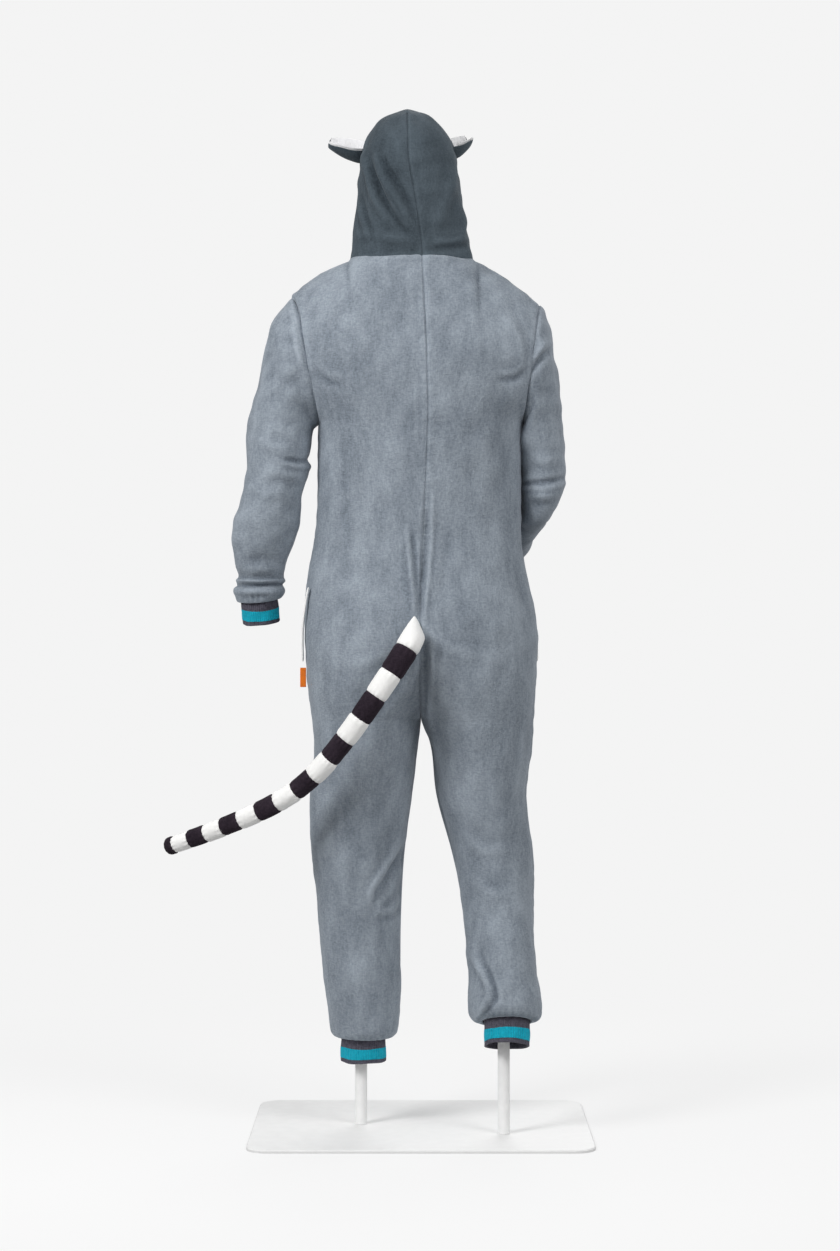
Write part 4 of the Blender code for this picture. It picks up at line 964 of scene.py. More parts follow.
SLEEVE_FOLDS = {
    LEFT: [
        # pinched in beside the armhole
        ([(-0.216, 1.480), (-0.206, 1.432), (-0.193, 1.376)], -0.0105, 0.006),
        ([(-0.234, 1.486), (-0.224, 1.440), (-0.212, 1.392)], 0.0070, 0.008),
        ([(-0.252, 1.430), (-0.240, 1.370), (-0.230, 1.320)], 0.0030, 0.013),
        # the notch inside the elbow
        ([(-0.196, 1.242), (-0.220, 1.229), (-0.252, 1.232)], -0.0055, 0.006),
        ([(-0.208, 1.210), (-0.236, 1.202), (-0.268, 1.212)], 0.0030, 0.010),
        ([(-0.300, 1.270), (-0.262, 1.252), (-0.225, 1.256)], 0.0025, 0.011),
        ([(-0.330, 1.190), (-0.290, 1.170), (-0.245, 1.172)], 0.0022, 0.012),
        # the roll of cloth above the cuff
        ([(-0.352, 1.036), (-0.298, 1.030), (-0.248, 1.036)], 0.0050, 0.011),
        ([(-0.362, 1.005), (-0.300, 1.0015), (-0.240, 1.005)], -0.0075, 0.0045),
        ([(-0.360, 0.992), (-0.300, 0.989), (-0.242, 0.992)], 0.0040, 0.007),
    ],
    RIGHT: [
        # pinched in beside the armhole
        ([(0.186, 1.384), (0.204, 1.398), (0.232, 1.432)], -0.0120, 0.006),
        ([(0.192, 1.414), (0.208, 1.426), (0.224, 1.450)], 0.0070, 0.008),
        ([(0.250, 1.410), (0.246, 1.350), (0.236, 1.300)], 0.0030, 0.013),
        # folds across the bent elbow
        ([(0.262, 1.246), (0.235, 1.232), (0.195, 1.236)], 0.0028, 0.011),
        ([(0.270, 1.204), (0.235, 1.192), (0.185, 1.190)], -0.0055, 0.006),
        ([(0.265, 1.180), (0.230, 1.168), (0.190, 1.170)], 0.0045, 0.010),
        ([(0.250, 1.130), (0.215, 1.118), (0.175, 1.130)], 0.0030, 0.010),
    ],
}
ARMPIT_FILL = {LEFT: 0.0, RIGHT: 0.010}
ARMPIT_FILL_Z, ARMPIT_FILL_SPAN = 1.282, 0.036
SLEEVE_GATHERS, SLEEVE_GATHER_HEIGHT = 20, 0.0005


def make_sleeves():
    """The sleeves, with the folds at the armpit, the elbow and the cuff."""
    angles = circle(SLEEVE_COLUMNS)[None, :]
    for side, word in SIDES:
        outer, inner = (sleeve_grid(side, inset) for inset in (0.0, WALL))
        normals = grid_normals(outer, outer - outer.mean(axis=1, keepdims=True), around=True)
        rise, fall = edge_distance(outer, 0)
        rise = np.maximum(rise - SLEEVE_TUCK, 0.0)
        lift = drape(outer, SLEEVE_FOLDS[side]) + seam_profile(rise, outer, 91 + side, ARMHOLE_SEAM)
        lift += waves(outer, 71 + side, **SLEEVE_SWELL) + waves(outer, 81 + side, **SLEEVE_CRUMPLE)
        gather = np.cos(SLEEVE_GATHERS * angles + waves(outer, 93, 0.06, 3.0, 6))
        lift += gather * SLEEVE_GATHER_HEIGHT * bell(fall, HEM_REACH)
        inward = np.clip(-side * normals[..., 0], 0.0, 1.0)
        lift += ARMPIT_FILL[side] * bell(outer[..., 2] - ARMPIT_FILL_Z, ARMPIT_FILL_SPAN) * inward
        lift *= np.clip(0.25 + rise / HEM_REACH, 0.0, 1.0) * np.clip(0.3 + fall / HEM_REACH, 0.0, 1.0)
        piece = draped_piece(f"sleeve_{word}", outer, inner, lift, normals, BODY, around=True)
        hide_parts(f"sleeve_{word}")


HOOD_FOLDS = [
    # the long drapes from the left temple down to the middle seam
    ([(-0.112, 1.800), (-0.098, 1.758), (-0.084, 1.712), (-0.066, 1.668)], 0.0105, 0.007),
    ([(-0.084, 1.776), (-0.062, 1.732), (-0.036, 1.690), (-0.008, 1.640)], 0.0125, 0.008),
    ([(-0.098, 1.770), (-0.078, 1.722), (-0.052, 1.676), (-0.030, 1.640)], -0.0070, 0.006),
    ([(-0.121, 1.725), (-0.109, 1.685), (-0.094, 1.636)], 0.0080, 0.004),
    ([(-0.070, 1.840), (-0.040, 1.790), (-0.025, 1.720)], 0.0030, 0.012),
    # the right side's slacker folds and the turn above the neck seam
    ([(0.062, 1.780), (0.052, 1.720), (0.030, 1.650)], 0.0065, 0.011),
    ([(0.088, 1.700), (0.080, 1.665), (0.068, 1.632)], 0.0050, 0.007),
    ([(-0.125, 1.650), (-0.060, 1.632), (0.000, 1.622)], 0.0030, 0.010),
    ([(0.095, 1.645), (0.060, 1.628), (0.020, 1.622)], 0.0045, 0.007),
]
HOOD_ROWS, HOOD_COLUMNS = 130, 100
HOOD_MIDDLE = (-0.022, 0.0, 1.72)
BACK_REACH = 0.05
HOOD_EDGE_REACH, HOOD_CALM = 0.02, 0.3
RIDGE_LAP = 0.0004


def hood_grid(side, inset):
    """All rows of one hood half. The last one lies along the crown, a little past the middle seam."""
    shares = clustered(HOOD_COLUMNS, 0.6)
    grid = relax(np.array([hood_row(side, height, inset, shares) for height in hood_heights(HOOD_ROWS)]), 4)
    grid[-1, :, 0] = hood_section(HOOD_TOP_Z)[0] - side * RIDGE_LAP
    return grid


def make_hood():
    """The hood's two halves, sewn along the middle from the neck over the crown."""
    for side, word in SIDES:
        outer, inner = (hood_grid(side, inset) for inset in (0.0, WALL))
        normals = grid_normals(outer, outer - HOOD_MIDDLE)
        run, left = edge_distance(outer, 1)
        rise, fall = edge_distance(outer, 0)
        lift = drape(outer, HOOD_FOLDS) * ramp(-outer[..., 1], BACK_REACH)
        lift += waves(outer, **HOOD_SWELL) + waves(outer, **HOOD_CRUMPLE)
        lift *= calmed(ramp(run, HOOD_EDGE_REACH), HOOD_CALM)
        lift += seam_profile(run, outer, 105, HOOD_SEAM) + seam_profile(rise, outer, 107, HOOD_SEAM)
        lift *= ramp(HOOD_TOP_Z - outer[..., 2], SEAM_QUIET) * ramp(left, 0.01) * ramp(fall, SEAM_QUIET)
        normals[..., 0] *= ramp(np.minimum(run, fall), SEAM_QUIET)
        piece = draped_piece(f"hood_{word}", outer, inner, lift, normals, HOOD_CLOTH)
        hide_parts(f"hood_{word}")


# ---- knitted bands and cuffs


BAND_WIDTH = 0.014
BAND_THICKNESS = 0.009
BAND_RIBS = 150
BAND_SIDES = 20
BAND_LAP = 0.001
BAND_SUNK = 0.4


def make_face_band():
    """The rib-knit band round the face opening."""
    turn = circle(BAND_SIDES)
    rings = []
    for angle in circle(BAND_RIBS * 6):
        out = np.array([math.sin(angle), -math.cos(angle)])
        edge = np.array([FACE_X, FACE_Z]) + out * (FACE_HALF_WIDTH - BAND_LAP, FACE_HALF_HEIGHT - BAND_LAP)
        middle = edge - out * BAND_WIDTH / 2
        front = (hood_front_y(*middle) + hood_front_y(*edge)) / 2
        rib = RIB_DEPTH * (0.5 + 0.5 * math.cos(BAND_RIBS * angle))
        flat = np.array([out[0], 0.0, out[1]]) * (BAND_WIDTH / 2 - rib)
        ring = oval(turn, flat, (0.0, BAND_THICKNESS / 2 - rib, 0.0))
        rings.append(ring + (middle[0], front - BAND_THICKNESS * BAND_SUNK, middle[1]))
    points = np.array(rings).reshape(-1, 3)
    faces = grid_faces(len(rings) + 1, BAND_SIDES, True) % len(points)
    piece = quad_piece("knit_face_band", points, facing_out(points, faces), RIB)
    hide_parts("face_band")


CUFF_ROLL, CUFF_ROLL_LENGTH, CUFF_ROLL_STEP = 0.0010, 0.0012, 0.0005
CUFF_SAG = {"size": 0.030, "height": 0.0012, "count": 10}
CUFF_SHIFT = {"size": 0.05, "height": 0.0010, "count": 8}
RIB_POWER, RIB_PILE = 0.7, 1.7


def cuff_tube(name, frame, first, last, lift, wall, material, seed):
    """A ribbed tube round a limb between two places along it, with rolled edges."""
    centre, down, across, along = frame
    angles = circle(RIBS * 6)
    ribs = (0.5 + 0.5 * np.cos(RIBS * angles)) ** RIB_POWER
    middle = np.linspace(first + CUFF_ROLL_LENGTH / 2, last - CUFF_ROLL_LENGTH, 26)
    grids = []
    for depth in (0.0, wall):
        rings = []
        for place in [first, *middle, last - CUFF_ROLL_STEP, last]:
            edge = clamp((last - place) / CUFF_ROLL_LENGTH)
            roll = CUFF_ROLL * (1 - math.sqrt(1 - (1 - edge) ** 2))
            inset = (roll if depth == 0.0 else depth - roll) - lift
            wide = across * (1 - inset / np.linalg.norm(across))
            deep = along * (1 - inset / np.linalg.norm(along))
            point = centre + down * place
            ring = point + oval(angles, wide, deep)
            out = unit(ring - point)
            give = (ribs - 1.0) * RIB_DEPTH * RIB_PILE if depth == 0.0 else 0.0
            give = give + waves(ring, seed, **CUFF_SAG)
            shift = waves(ring, seed + 1, **CUFF_SHIFT)
            rings.append(ring + out * give[:, None] + down * shift[:, None])
        grids.append(np.array(rings))
    return wall_piece(name, *grids, material, around=True)


def make_cuffs():
    """The ribbed cuffs, each with its teal stripe over it."""
    for number, (name, frame) in enumerate(sorted(cuff_frames().items())):
        seed = 200 + 10 * number
        piece = cuff_tube(f"knit_{name}", frame, 0.0, CUFF_LENGTH, 0.0, CUFF_WALL, RIB, seed)
        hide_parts(name)
        stripe = name.replace("cuff", "stripe")
        first, last = CUFF_LENGTH * STRIPE_FROM, CUFF_LENGTH * STRIPE_TO
        piece = cuff_tube(f"knit_{stripe}", frame, first, last, STRIPE_LIFT, STRIPE_WALL, TEAL, seed)
        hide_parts(stripe)


# ---- tail


TAIL_SIDES = 84
BAND_RINGS = 30
TAIL_ROOT_MIDDLE = (-0.0035, 0.0, 0.9233)
TAIL_ROOT_LEAN = 0.39
TAIL_ROOT_HALF_LENGTH = 0.0233
TAIL_ROOT_HALF_WIDTH = 0.004
TAIL_ROOT_DEPTH = 0.002
ROOT_LENGTH = 0.80
SEAM_PINCH, PINCH_REACH, PINCH_POWER = 0.09, 0.20, 2.2
TIP_ROUND_FROM, TIP_ROUND_LENGTH, TIP_ROUND_POWER = 0.45, 0.555, 2.4
TIP_LEAST = 0.02
ROOT_BLEND_POWER = 1.3
PLUMPNESS, PUCKER_COUNTS = (0.97, 1.03), (9, 13)
TAIL_PUCKER, TAIL_PUCKER_REACH, TAIL_LUMP = 0.0005, 0.24, 0.0003


def band_places():
    """The tail's seams as shares of its length: bands grow shorter towards the tip."""
    middle = np.linspace(LONGEST_BAND, SHORTEST_BAND, TAIL_BANDS - 2)
    ends = np.cumsum([0.0, FIRST_BAND, *middle, TIP_BAND])
    return ends / ends[-1]


def route_curve(route, shares):
    """Points at shares of a smooth route's length."""
    points = smooth_rows(route, 900)
    lengths = np.concatenate([[0.0], np.cumsum(np.linalg.norm(np.diff(points, axis=0), axis=1))])
    return np.stack([np.interp(shares * lengths[-1], lengths, column) for column in points.T], axis=1)


def seat_y(x, height):
    """The back surface of the seat at a place, as a negative y."""
    centre, width, depth = torso_section(LEFT, height)
    return -depth[BACK] * round_off((abs(x) - centre) / width)


def tail_root(angles):
    """The tail's flat end, let into the middle seam: a narrow oval that leans with the seam."""
    lean = np.array([math.sin(TAIL_ROOT_LEAN), 0.0, -math.cos(TAIL_ROOT_LEAN)])
    aside = np.array([math.cos(TAIL_ROOT_LEAN), 0.0, math.sin(TAIL_ROOT_LEAN)])
    ring = oval(angles, lean * TAIL_ROOT_HALF_LENGTH, aside * TAIL_ROOT_HALF_WIDTH) + TAIL_ROOT_MIDDLE
    for point in ring:
        point[1] = seat_y(point[0], point[2]) + TAIL_ROOT_DEPTH
    return ring


def make_tail():
    """The stuffed tail: short lengths of fleece sewn end to end, each pinched in at its seams."""
    rng = np.random.default_rng(7)
    count = TAIL_BANDS * BAND_RINGS + 1
    shares = np.interp(np.arange(count) / BAND_RINGS, np.arange(TAIL_BANDS + 1), band_places())
    centres = route_curve(TAIL_ROUTE, shares)
    tangents = unit(np.gradient(centres, axis=0))
    angles = circle(TAIL_SIDES)
    for band in range(TAIL_BANDS):
        white = band % 2 == 0
        plump = rng.uniform(*PLUMPNESS)
        puckers = int(rng.integers(*PUCKER_COUNTS))
        phases = rng.uniform(0, 2 * math.pi, 3)
        folds = np.cos(puckers * angles + phases[0] + 1.2 * np.sin(2 * angles + phases[1])) * TAIL_PUCKER
        lumps = np.cos(3 * angles + phases[2]) * TAIL_LUMP
        rings = []
        for step in range(BAND_RINGS + 1):
            index = band * BAND_RINGS + step
            place = step / BAND_RINGS
            from_first = 1.0 if band == 0 else place
            to_last = 1.0 if band == TAIL_BANDS - 1 else 1 - place
            radius = (TAIL_ROOT_RADIUS + (TAIL_TIP_RADIUS - TAIL_ROOT_RADIUS) * shares[index]) * plump
            radius *= 1 - SEAM_PINCH * max(0.0, 1 - min(from_first, to_last) / PINCH_REACH) ** PINCH_POWER
            if band == TAIL_BANDS - 1:
                rounded = max(0.0, (place - TIP_ROUND_FROM) / TIP_ROUND_LENGTH) ** TIP_ROUND_POWER
                radius *= math.sqrt(max(TIP_LEAST, 1 - rounded))
            across = unit(np.cross(tangents[index], (0.0, 1.0, 0.0)))
            along = np.cross(tangents[index], across)
            reach = radius + folds * bell(min(place, 1 - place), TAIL_PUCKER_REACH) + lumps
            ring = centres[index] + reach[:, None] * oval(angles, across, along)
            if band == 0:
                left = (1 - min(1.0, place / ROOT_LENGTH)) ** ROOT_BLEND_POWER
                ring = tail_root(angles) * left + ring * (1 - left)
            rings.append(ring)
        tail = tube_piece(f"tail_ring_{band + 1:02d}", rings, WHITE if white else BLACK)
        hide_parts(f"tail_{band + 1:02d}")


# ---- ears and face


# Each ear's middle, the way it points, the way its hollow faces, its length and its half width.
EARS = {
    "left": ((-0.1410, 0.006, 1.8180), (-1.0, 0.05, 0.17), (0.05, -0.46, 0.89), 0.060, 0.029),
    "right": ((0.0680, 0.014, 1.8240), (0.72, 0.55, 0.36), (-0.44, -0.60, 0.76), 0.060, 0.029),
}
EAR_CUP = 0.030
EAR_SINK = 0.004
EAR_ROOT = -1.2
EAR_TIP_FLATNESS = 0.6
EAR_BASE = 0.35
EAR_ROUNDING = 0.945
EAR_TAPER = 1.5
EAR_LINING_SHARE = 0.88
EAR_LINING_FROM = {"left": EAR_ROOT, "right": -0.7}
EAR_LINING_TO = 0.94
EAR_THICKNESS = 0.004
EAR_LINING_THICKNESS = 0.003
EAR_ROWS = 40
EAR_WOBBLE = {"seed": 301, "size": 0.030, "height": 0.0010, "count": 10}


def hood_push(leaf, facing):
    """The move that takes an ear's back and its lining clear of the hood together, but for a sunk root."""
    pushes = []
    for depth in (0.0, EAR_THICKNESS + EAR_LINING_THICKNESS):
        point = leaf + facing * depth
        pushes.append(outside_hood(point, -EAR_SINK) - point)
    return max(pushes, key=np.linalg.norm)


def ear_leaf(name, shape, share, first, last, lift, thickness, material):
    """A cupped ear leaf with a soft rolled rim, from its first to its last place along the ear."""
    centre, out, facing, length, width = shape
    out = unit(np.array(out))
    facing = unit(np.array(facing) - out * np.dot(facing, out))
    aside = np.cross(facing, out)
    steps = np.sin(np.linspace(-math.pi / 2, math.pi / 2, EAR_ROWS))
    sheets = []
    for face in (1, -1):
        rows = []
        for along in first + (last - first) * (steps + 1) / 2:
            half = width * share * round_off(EAR_ROUNDING * (along + EAR_BASE) / (1 + EAR_BASE))
            cup = EAR_CUP * (1 - EAR_TIP_FLATNESS * (max(0.0, along + 1) / 2) ** EAR_TAPER)
            edge = abs(2 * (along - first) / (last - first) - 1)
            spine = centre + out * along * length / 2
            row = []
            for across in steps:
                rim = round_off(max(abs(across), edge) ** 3)
                depth = lift + thickness * (0.5 + 0.5 * face * rim)
                leaf = spine + aside * across * half + facing * cup * (across**2 - 1)
                row.append(leaf + hood_push(leaf, facing) + facing * depth)
            rows.append(row)
        sheets.append(np.array(rows))
    wobble = waves(sheets[0], **EAR_WOBBLE)[..., None] * facing
    return wall_piece(name, sheets[0] + wobble, sheets[1] + wobble, material)


def make_ears():
    """Both ears: a leaf of the hood's cloth behind a paler lining."""
    for name, shape in EARS.items():
        piece = ear_leaf(f"ear_shell_{name}", shape, 1.0, EAR_ROOT, 1.0, 0.0, EAR_THICKNESS, HOOD_CLOTH)
        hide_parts(f"ear_back_{name}")
        part = (EAR_LINING_SHARE, EAR_LINING_FROM[name], EAR_LINING_TO, EAR_THICKNESS, EAR_LINING_THICKNESS)
        piece = ear_leaf(f"ear_inside_{name}", shape, *part, EAR_WHITE)
        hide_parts(f"ear_lining_{name}")


FACE_MIDDLE_X = -0.024
FALL_TURNS, FALL_SPARE = 12, 0.002
DOME_END, DOME_RINGS, DOME_SIDES = 0.97, 14, 48


def forehead_y(x, z):
    """How far forward the hood lies above the face opening, where its rows fall away from the crown."""
    height = z
    for _ in range(FALL_TURNS):
        fall = HOOD_RIDGE_FALL * (hood_rise(height) * hood_front_y(x, height) / hood_section(height)[3]) ** 2
        height = min(z + fall, HOOD_TOP_Z - FALL_SPARE)
    return hood_front_y(x, height)


def face_dome(name, place, half_size, thickness, lift, material):
    """A domed oval on the front of the hood."""
    rings = []
    for turn in np.linspace(0.0, math.pi / 2 * DOME_END, DOME_RINGS):
        spots = place + oval(circle(DOME_SIDES), (half_size[0], 0.0), (0.0, half_size[1])) * math.cos(turn)
        raised = lift + thickness * math.sin(turn)
        rings.append([(x, forehead_y(x, z) + raised, z) for x, z in spots])
    return tube_piece(name, rings, material)


EYE_SPACING = 0.031
EYE_Z = 1.838
NOSE_Z = 1.823
PATCH_SIZE, PATCH_THICKNESS, PATCH_LIFT = (0.019, 0.013), 0.0055, {"left": -0.0020, "right": 0.0004}
EYE_SIZE, EYE_THICKNESS, EYE_LIFT = (0.008, 0.008), 0.005, 0.003
NOSE_SIZE, NOSE_THICKNESS, NOSE_LIFT = (0.008, 0.006), 0.0085, -0.0010


def make_face():
    """Eye patches, eyes and nose above the face opening."""
    for side, word in SIDES:
        place = (FACE_MIDDLE_X + side * EYE_SPACING, EYE_Z)
        piece = face_dome(f"face_patch_{word}", place, PATCH_SIZE, PATCH_THICKNESS, PATCH_LIFT[word], BLACK)
        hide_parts(f"eye_patch_{word}")
        piece = face_dome(f"face_eye_{word}", place, EYE_SIZE, EYE_THICKNESS, EYE_LIFT, EYE)
        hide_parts(f"eye_{word}")
    piece = face_dome("face_nose", (FACE_MIDDLE_X, NOSE_Z), NOSE_SIZE, NOSE_THICKNESS, NOSE_LIFT, NOSE)
    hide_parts("nose_patch")


# ---- zip, welts and tab


def front_y(height):
    """The front surface's distance forward at the middle."""
    if height > armhole_middle(RIGHT):
        shares = clustered(PANEL_COLUMNS, SEAM_CLUSTER)
        rows = [yoke_row(RIGHT, FRONT, turn, 0.0, shares)[-1] for turn in np.linspace(0.0, 1.0, 9)]
        return float(np.interp(height, [row[2] for row in rows], [row[1] for row in rows]))
    centre, width, depth = torso_section(RIGHT, height)
    return depth[FRONT] * round_off(centre / width)


def cloth_front(height):
    """front_y with the worn cloth's own swell at the middle added."""
    point = np.array([[0.0, front_y(height), height]])
    swell = waves(point, **BODY_SWELL) + waves(point, height=MIDDLE_CRUMPLE_HEIGHT, **BODY_CRUMPLE)
    return front_y(height) + float(swell[0])


BOX_FACES = np.array([(0, 2, 3, 1), (4, 5, 7, 6), (0, 1, 5, 4), (2, 6, 7, 3), (0, 4, 6, 2), (1, 3, 7, 5)])


def boxes_piece(name, boxes, material, edge=0.0):
    """One mesh of boxes, each given by its middle, half sizes and slope in y per z. edge rounds them."""
    corners = np.array([(i, j, k) for k in (-1, 1) for j in (-1, 1) for i in (-1, 1)], float)
    points, faces = [], []
    for number, (middle, half, slope) in enumerate(boxes):
        box = corners * half
        box[:, 1] += slope * box[:, 2]
        points.append(box + middle)
        faces.append(BOX_FACES + 8 * number)
    piece = quad_piece(name, np.vstack(points), np.vstack(faces), material)
    for polygon in piece.data.polygons:
        polygon.use_smooth = False
    if edge:
        bevel = piece.modifiers.new("edge", "BEVEL")
        bevel.width = edge
        bevel.segments = 3
    return piece


ZIP_STOP = 0.024
ZIP_TOP_Z = 1.575
TOOTH_PITCH = 0.0030
TOOTH_HALF_SIZE, TOOTH_ASIDE, TOOTH_SUNK = (0.0021, 0.0010, 0.0009), 0.0009, 0.0008
TAPE_HALF_WIDTH, TAPE_DEPTH, TAPE_THICKNESS = 0.0062, 0.0028, 0.0012
SLIDER_Z, SLIDER_HALF_SIZE, SLIDER_LIFT = 1.538, (0.0042, 0.0014, 0.0068), 0.0012
SLIDER_REACH = 0.007
PULL_DROP, PULL_HALF_SIZE, PULL_LIFT = 0.012, (0.0029, 0.0008, 0.0145), 0.0040


def make_zip():
    """The closed zip: two tapes under a chain of meshed teeth, with its slider near the top."""
    heights = np.arange(ZIP_BOTTOM_Z + ZIP_STOP, ZIP_TOP_Z, TOOTH_PITCH)
    tops = np.array([cloth_front(z) for z in heights])
    teeth, rings = [], []
    for number, (z, y, slope) in enumerate(zip(heights, tops, np.gradient(tops, heights))):
        aside = TOOTH_ASIDE if number % 2 else -TOOTH_ASIDE
        teeth.append(((aside, y - TOOTH_SUNK, z), TOOTH_HALF_SIZE, slope))
        low, high = y - TAPE_DEPTH, y - TAPE_DEPTH + TAPE_THICKNESS
        corners = ((-1, low), (1, low), (1, high), (-1, high))
        rings.append([(end * TAPE_HALF_WIDTH, depth, z) for end, depth in corners])
    piece = boxes_piece("zip_teeth", teeth, METAL)
    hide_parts("zip_chain")
    piece = tube_piece("zip_tape", rings, RIB)
    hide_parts("zip_chain")
    y = cloth_front(SLIDER_Z)
    slope = (cloth_front(SLIDER_Z + SLIDER_REACH) - cloth_front(SLIDER_Z - SLIDER_REACH)) / (2 * SLIDER_REACH)
    middle = (0.0, y + SLIDER_LIFT, SLIDER_Z)
    piece = boxes_piece("zip_slider_body", [(middle, SLIDER_HALF_SIZE, slope)], METAL, edge=0.0008)
    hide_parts("zip_slider")
    middle = (0.0, y + PULL_LIFT, SLIDER_Z - PULL_DROP)
    piece = boxes_piece("zip_pull_tape", [(middle, PULL_HALF_SIZE, slope)], WEBBING, edge=0.0005)
    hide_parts("zip_pull")


WELT_BOTTOM_Z, WELT_TOP_Z = 0.862, 0.998
WELT_ANGLES = {LEFT: (0.16, 0.32), RIGHT: (-0.12, -0.28)}
WELT_FACE = {LEFT: BACK, RIGHT: FRONT}
WELT_HALF_WIDTH = 0.0052
WELT_HALF_THICKNESS = 0.0022
WELT_LIFT = 0.0032
WELT_ROWS, WELT_SIDES = 60, 20
WELT_END_ROWS, WELT_END_SHARE = 3, 0.1


def make_welts():
    """The soft white welt along each side pocket's mouth."""
    turn = circle(WELT_SIDES)
    for side, word in SIDES:
        rings = []
        for number, share in enumerate(np.linspace(0.0, 1.0, WELT_ROWS)):
            height = WELT_BOTTOM_Z + (WELT_TOP_Z - WELT_BOTTOM_Z) * share
            centre, width, depth = torso_section(side, height)
            angle = WELT_ANGLES[side][0] + (WELT_ANGLES[side][1] - WELT_ANGLES[side][0]) * share
            x = side * (centre + (width + WELT_LIFT) * math.cos(angle))
            y = -(depth[WELT_FACE[side]] + WELT_LIFT) * math.sin(angle)
            from_end = min(number, WELT_ROWS - 1 - number) / WELT_END_ROWS
            shut = math.sqrt(min(1.0, from_end + WELT_END_SHARE))
            ring = oval(turn, (0.0, WELT_HALF_WIDTH, 0.0), (WELT_HALF_THICKNESS, 0.0, 0.0)) * shut
            rings.append(ring + (x, y, height))
        piece = tube_piece(f"pocket_edge_{word}", rings, WHITE)
        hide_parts(f"pocket_welt_{word}")


TAB_TOP_Z, TAB_BOTTOM_Z = 0.850, 0.814
TAB_OUT, TAB_IN = 0.0085, 0.0025
TAB_HALF_THICKNESS = 0.0011
TAB_Y = 0.001


def make_tab():
    """The small folded tape caught in the left side seam."""
    centre, width, _ = torso_section(LEFT, TAB_TOP_Z)
    x = -(centre + width) - (TAB_OUT - TAB_IN) / 2
    middle = (x, TAB_Y, (TAB_TOP_Z + TAB_BOTTOM_Z) / 2)
    half = ((TAB_OUT + TAB_IN) / 2, TAB_HALF_THICKNESS, (TAB_TOP_Z - TAB_BOTTOM_Z) / 2)
    piece = boxes_piece("tab_tape", [(middle, half, 0.0)], WEBBING, edge=0.0009)
    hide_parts("side_tab")


# ---- studio


BACKDROP = 0.904
FLOOR_SHARE = 0.250
FLOOR_GLOW = 0.18
FLOOR_ALBEDO = 0.28
FLOOR_FADE_FROM, FLOOR_FADE_TO = 0.7, 1.7
FLOOR_HALF_SIZE = 30.0
WHITE_LIGHT = (1.0, 1.0, 1.0)


def seen_or(tree, seen, cast):
    """The brightness looked at, or a dimmer one that lights the scene, so the backdrop adds little glare."""
    looking = add_node(tree, "ShaderNodeLightPath").outputs["Is Camera Ray"]
    return add_node(tree, "ShaderNodeMix", Factor=looking, A=cast, B=seen).outputs["Result"]


def make_studio():
    """A seamless pale floor. Most of its brightness is its own, so only soft contact shadows show."""
    material, tree = new_material("studio_floor")
    tree.nodes.remove(tree.nodes["Principled BSDF"])
    lit = add_node(tree, "ShaderNodeEmission", Strength=seen_or(tree, BACKDROP - FLOOR_SHARE, FLOOR_GLOW))
    matt = add_node(tree, "ShaderNodeBsdfDiffuse", Color=(FLOOR_ALBEDO, FLOOR_ALBEDO, FLOOR_ALBEDO))
    near = add_node(tree, "ShaderNodeAddShader")
    far = add_node(tree, "ShaderNodeEmission", Strength=seen_or(tree, BACKDROP, FLOOR_GLOW))
    place = add_node(tree, "ShaderNodeTexCoord").outputs["Object"]
    distance = add_node(tree, "ShaderNodeVectorMath", Vector=place)
    distance.operation = "LENGTH"
    fade = ranged(tree, distance.outputs["Value"], FLOOR_FADE_FROM, FLOOR_FADE_TO)
    blend = add_node(tree, "ShaderNodeMixShader")
    links = [(lit, near, 0), (matt, near, 1), (near, blend, 1), (far, blend, 2)]
    for source, target, number in [*links, (blend, tree.nodes["Material Output"], 0)]:
        put(tree, target.inputs[number], source.outputs[0])
    put(tree, blend.inputs[0], fade)
    mesh = bpy.data.meshes.new("studio_floor")
    corners = [(x * FLOOR_HALF_SIZE, y * FLOOR_HALF_SIZE, 0) for x, y in ((-1, -1), (1, -1), (1, 1), (-1, 1))]
    mesh.from_pydata(corners, [], [(0, 1, 2, 3)])
    mesh.materials.append(material)
    floor = new_object("studio_floor", mesh)


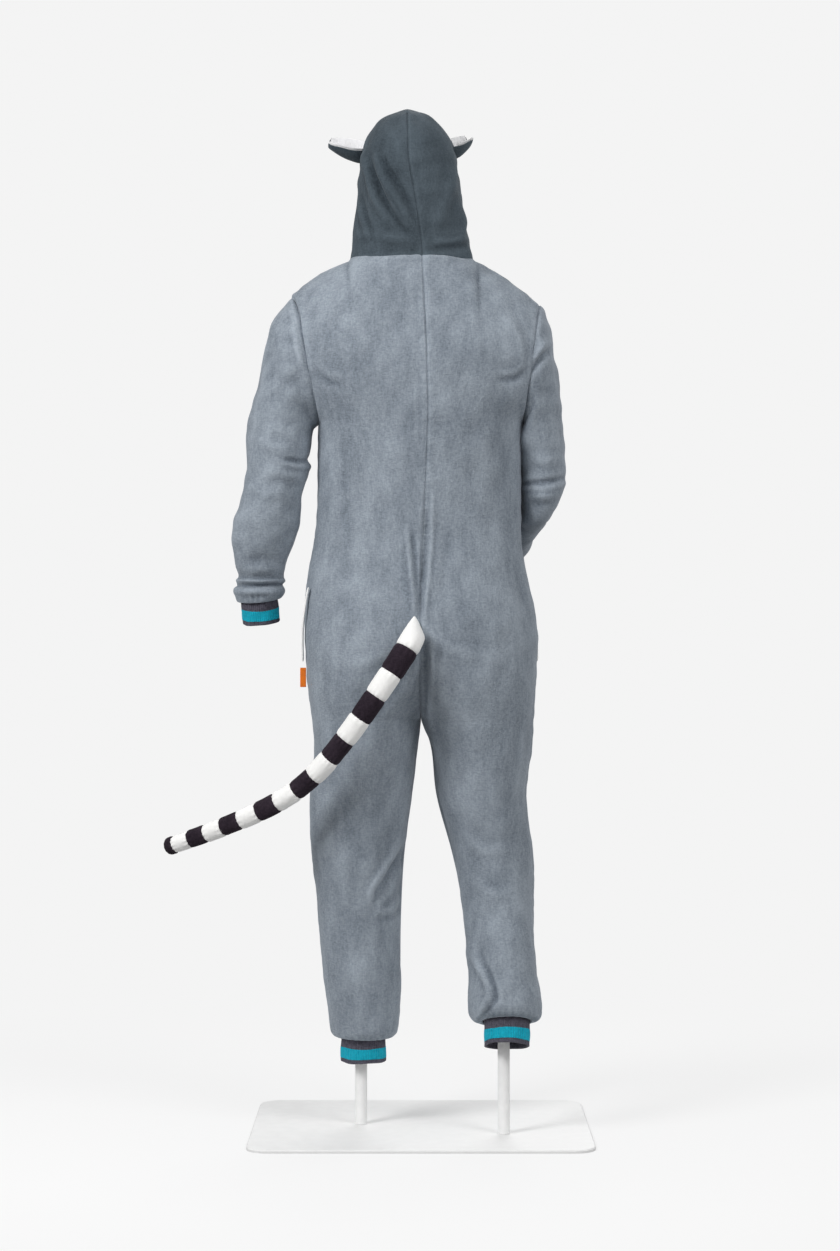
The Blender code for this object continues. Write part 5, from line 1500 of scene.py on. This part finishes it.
def area_light(name, place, toward, size, power):
    """A round lamp turned to a point. The camera doesn't see it."""
    light = bpy.data.lights.new(name, "AREA")
    light.shape = "DISK"
    light.size = size
    light.energy = power
    light.color = WHITE_LIGHT
    obj = new_object(name, light)
    obj.location = place
    direction = mathutils.Vector(toward) - mathutils.Vector(place)
    obj.rotation_euler = direction.to_track_quat("-Z", "Y").to_euler()
    obj.visible_camera = False


SKY_FROM, SKY_TO, SKY_SIDE, SKY_TOP = 0.20, 0.80, 0.47, 0.48
# Each light's name, place, the point it is turned to, its size and its power.
LIGHTS = [
    ("key", (-2.1, -1.9, 2.3), (0.0, 0.0, 1.3), 1.2, 60.0),
    ("side", (2.1, -2.0, 2.5), (0.0, 0.0, 1.2), 1.6, 34.0),
    ("front", (0.7, 3.0, 2.2), (0.0, 0.0, 1.1), 2.4, 36.0),
]


def make_light():
    """An even pale sky with three soft lamps, the strongest from behind the costume's left."""
    world = bpy.data.worlds.new("studio")
    bpy.context.scene.world = world
    world.use_nodes = True
    tree = world.node_tree
    direction = add_node(tree, "ShaderNodeTexCoord").outputs["Generated"]
    height = add_node(tree, "ShaderNodeSeparateXYZ", Vector=direction).outputs["Z"]
    overhead = ranged(tree, height, SKY_FROM, SKY_TO, SKY_SIDE, SKY_TOP)
    feed(tree, tree.nodes["Background"], Color=WHITE_LIGHT, Strength=seen_or(tree, BACKDROP, overhead))
    for light in LIGHTS:
        area_light(*light)


CAMERA_X, CAMERA_DISTANCE, CAMERA_Z = -0.00185, 4.75, 0.928
FIELD_HEIGHT = 2.3144
SENSOR = 36.0


def make_camera():
    """A level camera behind the costume. In the costume's middle plane it sees FIELD_HEIGHT."""
    camera = bpy.data.cameras.new("view")
    camera.sensor_width = SENSOR
    camera.lens = SENSOR * CAMERA_DISTANCE / FIELD_HEIGHT
    obj = new_object("view", camera)
    obj.location = (CAMERA_X, -CAMERA_DISTANCE, CAMERA_Z)
    obj.rotation_euler = (math.pi / 2, 0.0, 0.0)
    bpy.context.scene.camera = obj


make_panels()
make_sleeves()
make_hood()
make_face_band()
make_cuffs()
make_tail()
make_ears()
make_face()
make_zip()
make_welts()
make_tab()
for node_name, node in frame["nodes"].items():
    if node_name.startswith("stand_"):
        node.data.materials.clear()
        node.data.materials.append(PAINT)
make_studio()
make_light()
make_camera()
bpy.context.scene.view_settings.view_transform = "Standard"
